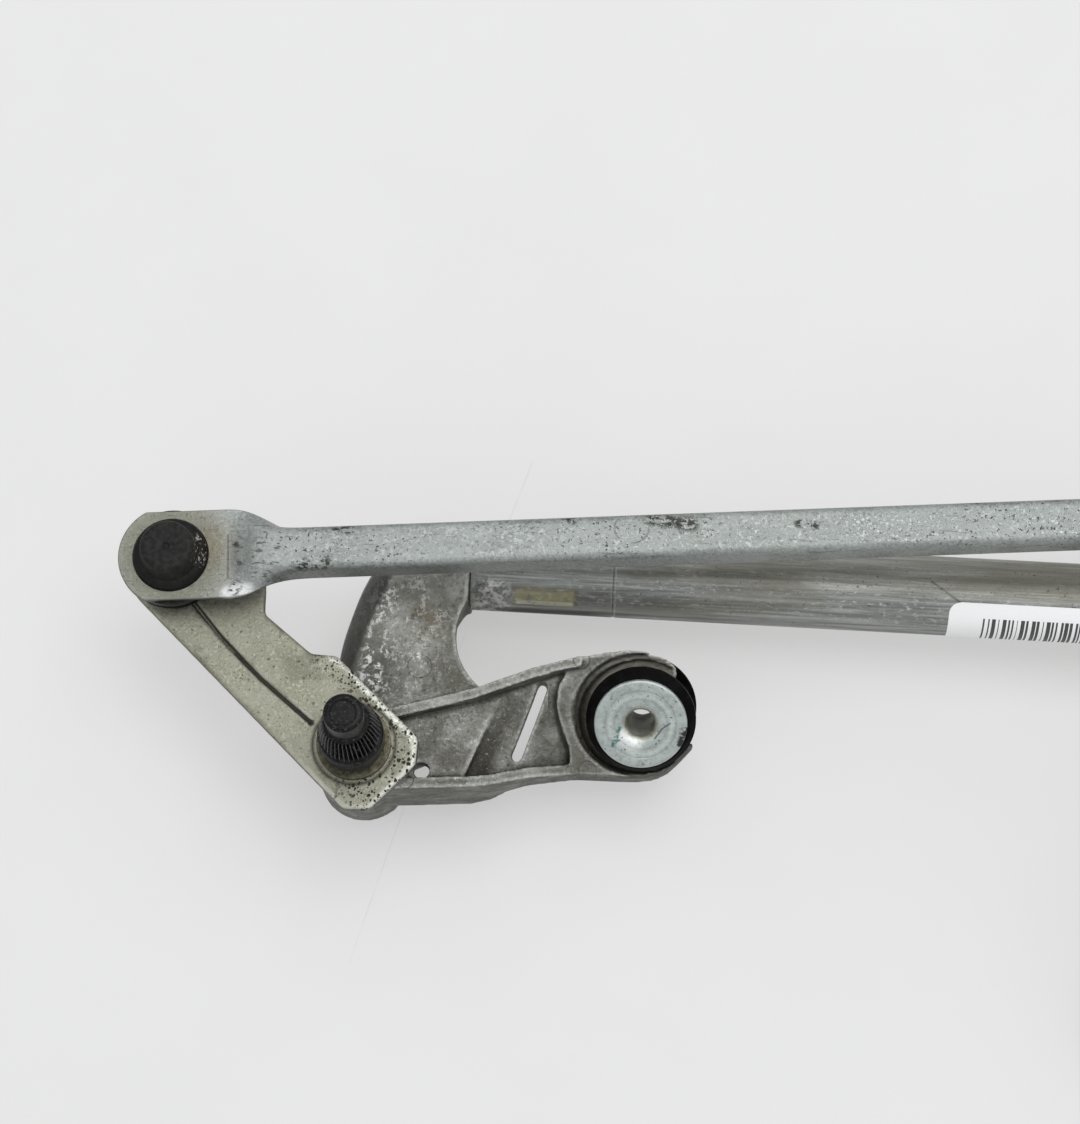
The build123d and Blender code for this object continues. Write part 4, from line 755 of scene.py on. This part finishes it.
def cup_skins(name, centres, made, body):
    """A closed profile turned about each ball: cap, snap ring, flange under the plate and the ball's hollow."""
    round_top = [(5.3 + 1.3 * np.sin(a), -4.6 + 1.25 * np.cos(a)) for a in np.linspace(0, 1.45, 8)]
    hollow = [(6.06 * np.cos(a), -11 + 6.06 * np.sin(a)) for a in np.linspace(-0.733, np.pi / 2, 16)]
    profile = np.array([
        (0, -3.95), (0.55, -3.9), (0.9, -3.5), (1.2, -3.36), (3.2, -3.42), (4.6, -3.38), *round_top,
        (6.9, -6.5), (7.2, -8.3), (7.35, -8.8), (7.9, -9.1), (8.5, -9.3), (8.9, -9.7), (9.15, -10.4),
        (9.15, -12.62), (12.0, -12.62), (12.2, -12.8), (12.2, -14.5), (11.8, -15), (4.6, -15.05), *hollow])
    turn = np.linspace(0, 2 * np.pi, 97)
    radius, height = profile[:, :1], profile[:, 1:] + 0 * turn
    for number, (x_at, y_at) in enumerate(centres):
        grid = np.stack([x_at + radius * np.cos(turn), y_at + radius * np.sin(turn), height], 2)
        fit(woven(f"{name}_skin_{number + 1}", [grid], crease=40), made, body, "black_plastic", name)


moulding = finish("moulding")
grain = cloud(moulding, 1.2, 0.4, 0.65)
dusty = cloud(moulding, 5, 0.45, 0.7, detail=6)
crumbs = both(moulding, spot(moulding, (-40.5, 44, -8), 6, 2), cloud(moulding, 1.0, 0.56, 0.62, detail=5))
lip = ring(moulding, (-48, 42.5, -9.5), 8.6, 1.8, stretch=(1, 1, 0.4))
colour = layers(
    moulding, tint(moulding, grain, (0.012, 0.012, 0.012), (0.021, 0.021, 0.021)),
    (dusty, 0.25, (0.035, 0.03, 0.024)),
    (lip, 0.7, (0.006, 0.006, 0.005)),
    (crumbs, 0.8, (0.32, 0.3, 0.25)))
coat(moulding, colour, blend(moulding, grain, 0.36, 0.48), relief(moulding, (grain, 0.02)),
     **{"Specular IOR Level": 0.06})
cup_skins("drag_link_sockets", (LEFT_BALL, RIGHT_BALL), moulding, "drag_link")
cup_skins("drive_link_socket", (DRIVE_BALL,), moulding, "drive_link")
dress(moulding, "gear_cover", "brush_plate", "connector_shell", "crank_socket")


# Rubber: rings moulded to sit in the mounting eyes, and skirts that keep the dirt out of the ball cups.
# Both are held by their own grip.

def grained(name, noise, dark, light, rough, height, metallic=0.0, stretch=(1, 1, 1), detail=4.0, **more):
    """A whole finish on one noise mask: two colours, two roughnesses and a bump's height in millimetres."""
    made = finish(name)
    grain = cloud(made, *noise, stretch=stretch, detail=detail)
    colour, rough, bumps = tint(made, grain, dark, light), blend(made, grain, *rough), relief(made, (grain, height))
    return coat(made, colour, rough, bumps, metallic, **more)


rubber = grained("rubber", (2.5, 0.45, 0.75), (0.0015, 0.0015, 0.0015), (0.006, 0.006, 0.0055), (0.5, 0.65),
                 0.03, **{"Specular IOR Level": 0.04})
dress(rubber, "left_grommet", "right_grommet", "motor_grommet", "drag_link_boots", "drive_link_boot", "crank_boot")


# Sleeves: turned from steel bar and galvanised, with a flange on top and a hole for an M6 screw.
# They sit in the rubber rings. The left one's hole flares out, and its flange is marked and chipped.

def leaning(name, profile):
    """A closed profile of (radius, height) turned about the eye's axis, which leans towards the near side."""
    turn = np.linspace(0, 2 * np.pi, 145)
    radius, height = np.array(profile)[:, :1], np.array(profile)[:, 1:]
    across, away, along = radius * np.cos(turn), radius * np.sin(turn), height + 0 * turn
    grid = np.stack([EYE[0] + across, EYE[1] + away * np.cos(LEAN) - along * np.sin(LEAN),
                     EYE[2] + away * np.sin(LEAN) + along * np.cos(LEAN)], 2)
    return woven(name, [grid], crease=40)


HOLE_R, FLARE_R, NECK, FLANGE_TOP = 3.4, 2.2, 4.2, 6.4
flare = np.linspace(0, np.pi / 2, 12)
mouth = [(HOLE_R + FLARE_R * (1 - np.cos(a)), NECK + FLARE_R * np.sin(a)) for a in flare]
face = [(6.2, 6.43), (7.2, 6.42), (8.6, 6.36), (8.75, 6.4), (10.4, 6.4), (11.0, 6.36), (11.25, 6.22), (11.4, 5.95)]
sleeve = [(HOLE_R, -10), *mouth, *face, (11.4, 5.2), (11.2, 4.95), (10.9, 4.9), (5, 4.9), (5, -10), (HOLE_R, -10)]

galvanised = finish("galvanised")
grain = cloud(galvanised, 3.0, 0.36, 0.66, detail=8, rough=0.7)
bloom = cloud(galvanised, 1.0, 0.45, 0.62, detail=8, rough=0.75)
specks = cloud(galvanised, 0.9, 0.62, 0.67)
middle = EYE + FLANGE_TOP * EYE_AXIS
lathe = either(galvanised, ring(galvanised, middle, 8.7, 0.25), ring(galvanised, middle, 6.5, 0.5))
pale = either(galvanised, ring(galvanised, middle, 7.6, 0.8), ring(galvanised, middle, 11.2, 0.3))
inside = line(galvanised, EYE - 12 * EYE_AXIS, EYE + 5.6 * EYE_AXIS, 4.4, 4.2)
ink = either(
    galvanised, line(galvanised, middle + (-6.4, -4.6, -3.4), middle + (-5.2, -1.0, -0.7), 0.9, 0.2),
    line(galvanised, middle + (-6.6, -3.6, -2.6), middle + (-4.6, -3.5, -2.5), 0.5, 0.1))
ink = both(galvanised, ink, cloud(galvanised, 1.2, 0.4, 0.55, detail=6))
chip = both(galvanised, ring(galvanised, middle, 10.9, 1.3), spot(galvanised, middle + (10.6, -2.1, -1.6), 2.9, 2.3),
            2.0)
chip = both(galvanised, chip, cloud(galvanised, 1.4, 0.36, 0.5, detail=7))
glare = both(galvanised, ring(galvanised, middle, 5.2, 2.6), spot(galvanised, middle + (-3.0, -3.6, -2.6), 5.0, 1.8),
             cloud(galvanised, 2.5, 0.25, 0.5, detail=6))
scratch = either(
    galvanised, line(galvanised, middle + (3.6, -2.75, -2.0), middle + (5.2, -0.65, -0.47), 0.35, 0.1),
    line(galvanised, middle + (5.2, -0.65, -0.47), middle + (7.2, 0.65, 0.47), 0.3, 0.05))
# Painted shade in the bore, darker further down; near the mouth the bore keeps its own cream colour.
bore_shade = ramp(galvanised, vectors(galvanised, "DOT_PRODUCT", place_mm(galvanised), EYE_AXIS), -38.0, -27.5)
colour = layers(
    galvanised, tint(galvanised, grain, (0.27, 0.30, 0.285), (0.40, 0.435, 0.415)),
    (bloom, 0.4, (0.5, 0.53, 0.515)),
    (pale, 0.35, (0.62, 0.66, 0.64)),
    (lathe, 0.35, (0.2, 0.21, 0.2)),
    (inside, 1, tint(galvanised, bore_shade, (0.035, 0.035, 0.02), (0.36, 0.36, 0.29))),
    (glare, 0.8, (0.86, 0.88, 0.86)),
    (specks, 0.8, (0.05, 0.05, 0.05)),
    (ink, 0.85, (0.01, 0.11, 0.085)),
    (chip, 1, (0.035, 0.035, 0.033)),
    (scratch, 0.8, (0.05, 0.05, 0.05)))
bumps = relief(galvanised, (grain, 0.04), (bloom, 0.03), (lathe, -0.06), (scratch, -0.08))
coat(galvanised, colour, blend(galvanised, grain, 0.38, 0.52), bumps, 0.85)
fit(leaning("left_sleeve_skin", sleeve), galvanised, "frame", "zinc_steel", "left_mount_sleeve")
dress(galvanised, "right_mount_sleeve", "motor_mount_sleeve")


# Screws, nut and clips: steel, zinc plated and bright.
# They hold the cover, the can, the bracket and the crank, and keep the spindles from coming up.

bright_zinc = grained("bright_zinc", (3.0, 0.4, 0.65), (0.42, 0.46, 0.47), (0.56, 0.6, 0.61), (0.32, 0.44), 0.02, 1.0)
dress(bright_zinc, "bracket_screws", "cover_screws", "motor_screws", "crank_nut", "left_retaining_clip",
      "right_retaining_clip")


# Motor and output shafts and ball studs: hardened steel, ground and greased.
# The studs are riveted into the levers and the crank.

ground_steel = grained("ground_steel", (0.6, 0.4, 0.65), (0.4, 0.4, 0.4), (0.52, 0.52, 0.51), (0.18, 0.3),
                       0.01, 1.0, stretch=(1, 1, 0.2))
dress(ground_steel, "worm_shaft", "output_shaft", "left_ball_stud", "right_ball_studs", "crank_ball_stud")


# Bushes: bronze powder pressed and sintered, so that its pores hold oil.
# They are pressed into the castings and the can.

sintered = grained("sintered", (0.5, 0.5, 0.62), (0.43, 0.27, 0.12), (0.27, 0.16, 0.07), (0.38, 0.55), -0.03, 1.0)
dress(sintered, "left_spindle_bushes", "right_spindle_bushes", "output_bushes", "shaft_bushes")


# Worm wheel and thrust washers: nylon moulded in its natural cream.
# The wheel sits fast on the output shaft, and the washers lie loose on the spindles.

nylon = grained("nylon", (2.0, 0.4, 0.65), (0.62, 0.6, 0.5), (0.7, 0.68, 0.59), (0.36, 0.48), 0.02)
dress(nylon, "worm_wheel", "left_thrust_washer", "right_thrust_washer")


# Park switch, commutator and springs: stamped copper that slides under fingers and brushes.
# The fingers and the brushes' springs are of spring steel.

copper = grained("track_copper", (2.5, 0.4, 0.65), (0.62, 0.25, 0.12), (0.72, 0.34, 0.2), (0.24, 0.38), 0.01, 1.0)
dress(copper, "park_disc", "commutator")
springy = grained("spring_steel", (1.0, 0.4, 0.65), (0.3, 0.3, 0.29), (0.4, 0.4, 0.39), (0.3, 0.42), 0.01, 1.0)
dress(springy, "park_contacts", "brush_springs")


# Inside of the motor: a core of stamped sheets on the shaft, wound with enamelled wire, two ferrite magnets
# glued into the can, carbon brushes in the brush plate, and tinned blades moulded into the plug socket.

enamelled = grained("enamelled", (0.5, 0.35, 0.65), (0.36, 0.12, 0.04), (0.56, 0.22, 0.08), (0.26, 0.36),
                    0.2, 0.8, stretch=(0.1, 1, 1))
dress(enamelled, "armature_windings")
laminated = grained("laminated", (0.6, 0.42, 0.58), (0.12, 0.12, 0.125), (0.28, 0.28, 0.285), (0.36, 0.5),
                    0.05, 1.0, stretch=(1, 0.02, 0.02), detail=2)
dress(laminated, "armature_core")
ferrite = grained("ferrite", (0.8, 0.4, 0.65), (0.035, 0.034, 0.034), (0.06, 0.058, 0.057), (0.55, 0.7), 0.04)
dress(ferrite, "motor_magnets")
carbon = grained("carbon", (0.5, 0.4, 0.65), (0.03, 0.03, 0.032), (0.055, 0.055, 0.058), (0.34, 0.5), 0.03, 0.3)
dress(carbon, "brushes")
tinned = grained("tinned", (1.5, 0.4, 0.65), (0.6, 0.6, 0.58), (0.7, 0.7, 0.68), (0.22, 0.34), 0.01, 1.0)
dress(tinned, "connector_pins")


# Floor, light and camera: pale paper with faint creases and crumbs, under an even sky and one soft lamp.
# The camera is solved from the straight edges of the tube, the link and the housing in the photo.

floor_paper = finish("floor_paper")
fibres = cloud(floor_paper, 60, 0.3, 0.7)
marks = line(floor_paper, (36.3, 90.7, -62), (22.6, 45, -62), 0.4, 0.1)
for start, end in (((22.6, 45, -62), (9.6, -5.4, -62)), ((9.6, -5.4, -62), (-1.0, -46.0, -62))):
    marks = either(floor_paper, marks, line(floor_paper, start, end, 0.4, 0.1))
marks = both(floor_paper, marks, cloud(floor_paper, 14, 0.3, 0.6))
crumbs = both(floor_paper, dots(floor_paper, 42, -0.045, 0.014), 0.8)
colour = layers(
    floor_paper, tint(floor_paper, fibres, (0.285, 0.285, 0.283), (0.295, 0.295, 0.293)),
    (marks, 0.35, (0.05, 0.05, 0.06)),
    (crumbs, 1, (0.02, 0.02, 0.02)))
coat(floor_paper, colour, 0.9, **{"Emission Color": (0.985, 0.98, 0.97, 1), "Emission Strength": 0.42})

half, level = 3.0, cad_box[0][2] - 0.0002
sheet = bpy.data.meshes.new("floor")
corners = [(x * half, y * half, level) for x, y in ((-1, -1), (1, -1), (1, 1), (-1, 1))]
sheet.from_pydata(corners, [], [(0, 1, 2, 3)])
sheet.materials.append(floor_paper)
floor = bpy.data.objects.new("floor", sheet)
bpy.context.scene.collection.objects.link(floor)

world = bpy.data.worlds.new("room")
world.use_nodes = True
sky = world.node_tree.nodes["Background"].inputs
sky[0].default_value, sky[1].default_value = (0.96, 0.98, 1, 1), 0.98
bpy.context.scene.world = world

# One soft square lamp, 0.8 m across, that faces the housing.
LAMP, AIM = np.array((0.30, 0.26, 1.2)), np.array((0.05, 0.02, -0.04))
light = bpy.data.lights.new("key", "AREA")
light.size, light.energy = 0.8, 7.8
lamp = bpy.data.objects.new("key", light)
bpy.context.scene.collection.objects.link(lamp)
back = (LAMP - AIM) / np.linalg.norm(LAMP - AIM)
side = np.cross((0, 1, 0.1), back)
side /= np.linalg.norm(side)
turned = np.column_stack([side, np.cross(back, side), back, LAMP])
lamp.matrix_world = Matrix([*turned.tolist(), (0, 0, 0, 1)])

lens = bpy.data.cameras.new("camera")
lens.lens, lens.sensor_width, lens.clip_start, lens.clip_end = 90.0, 36.0, 0.01, 10.0
camera = bpy.data.objects.new("camera", lens)
bpy.context.scene.collection.objects.link(camera)
camera.matrix_world = Matrix([
    (0.99745, -0.05300, 0.04777, 0.07538),
    (0.06532, 0.94762, -0.31266, -0.16869),
    (-0.02870, 0.31498, 0.94866, 0.63957),
    (0, 0, 0, 1),
])
bpy.context.scene.camera = camera
bpy.context.scene.view_settings.view_transform = "Standard"
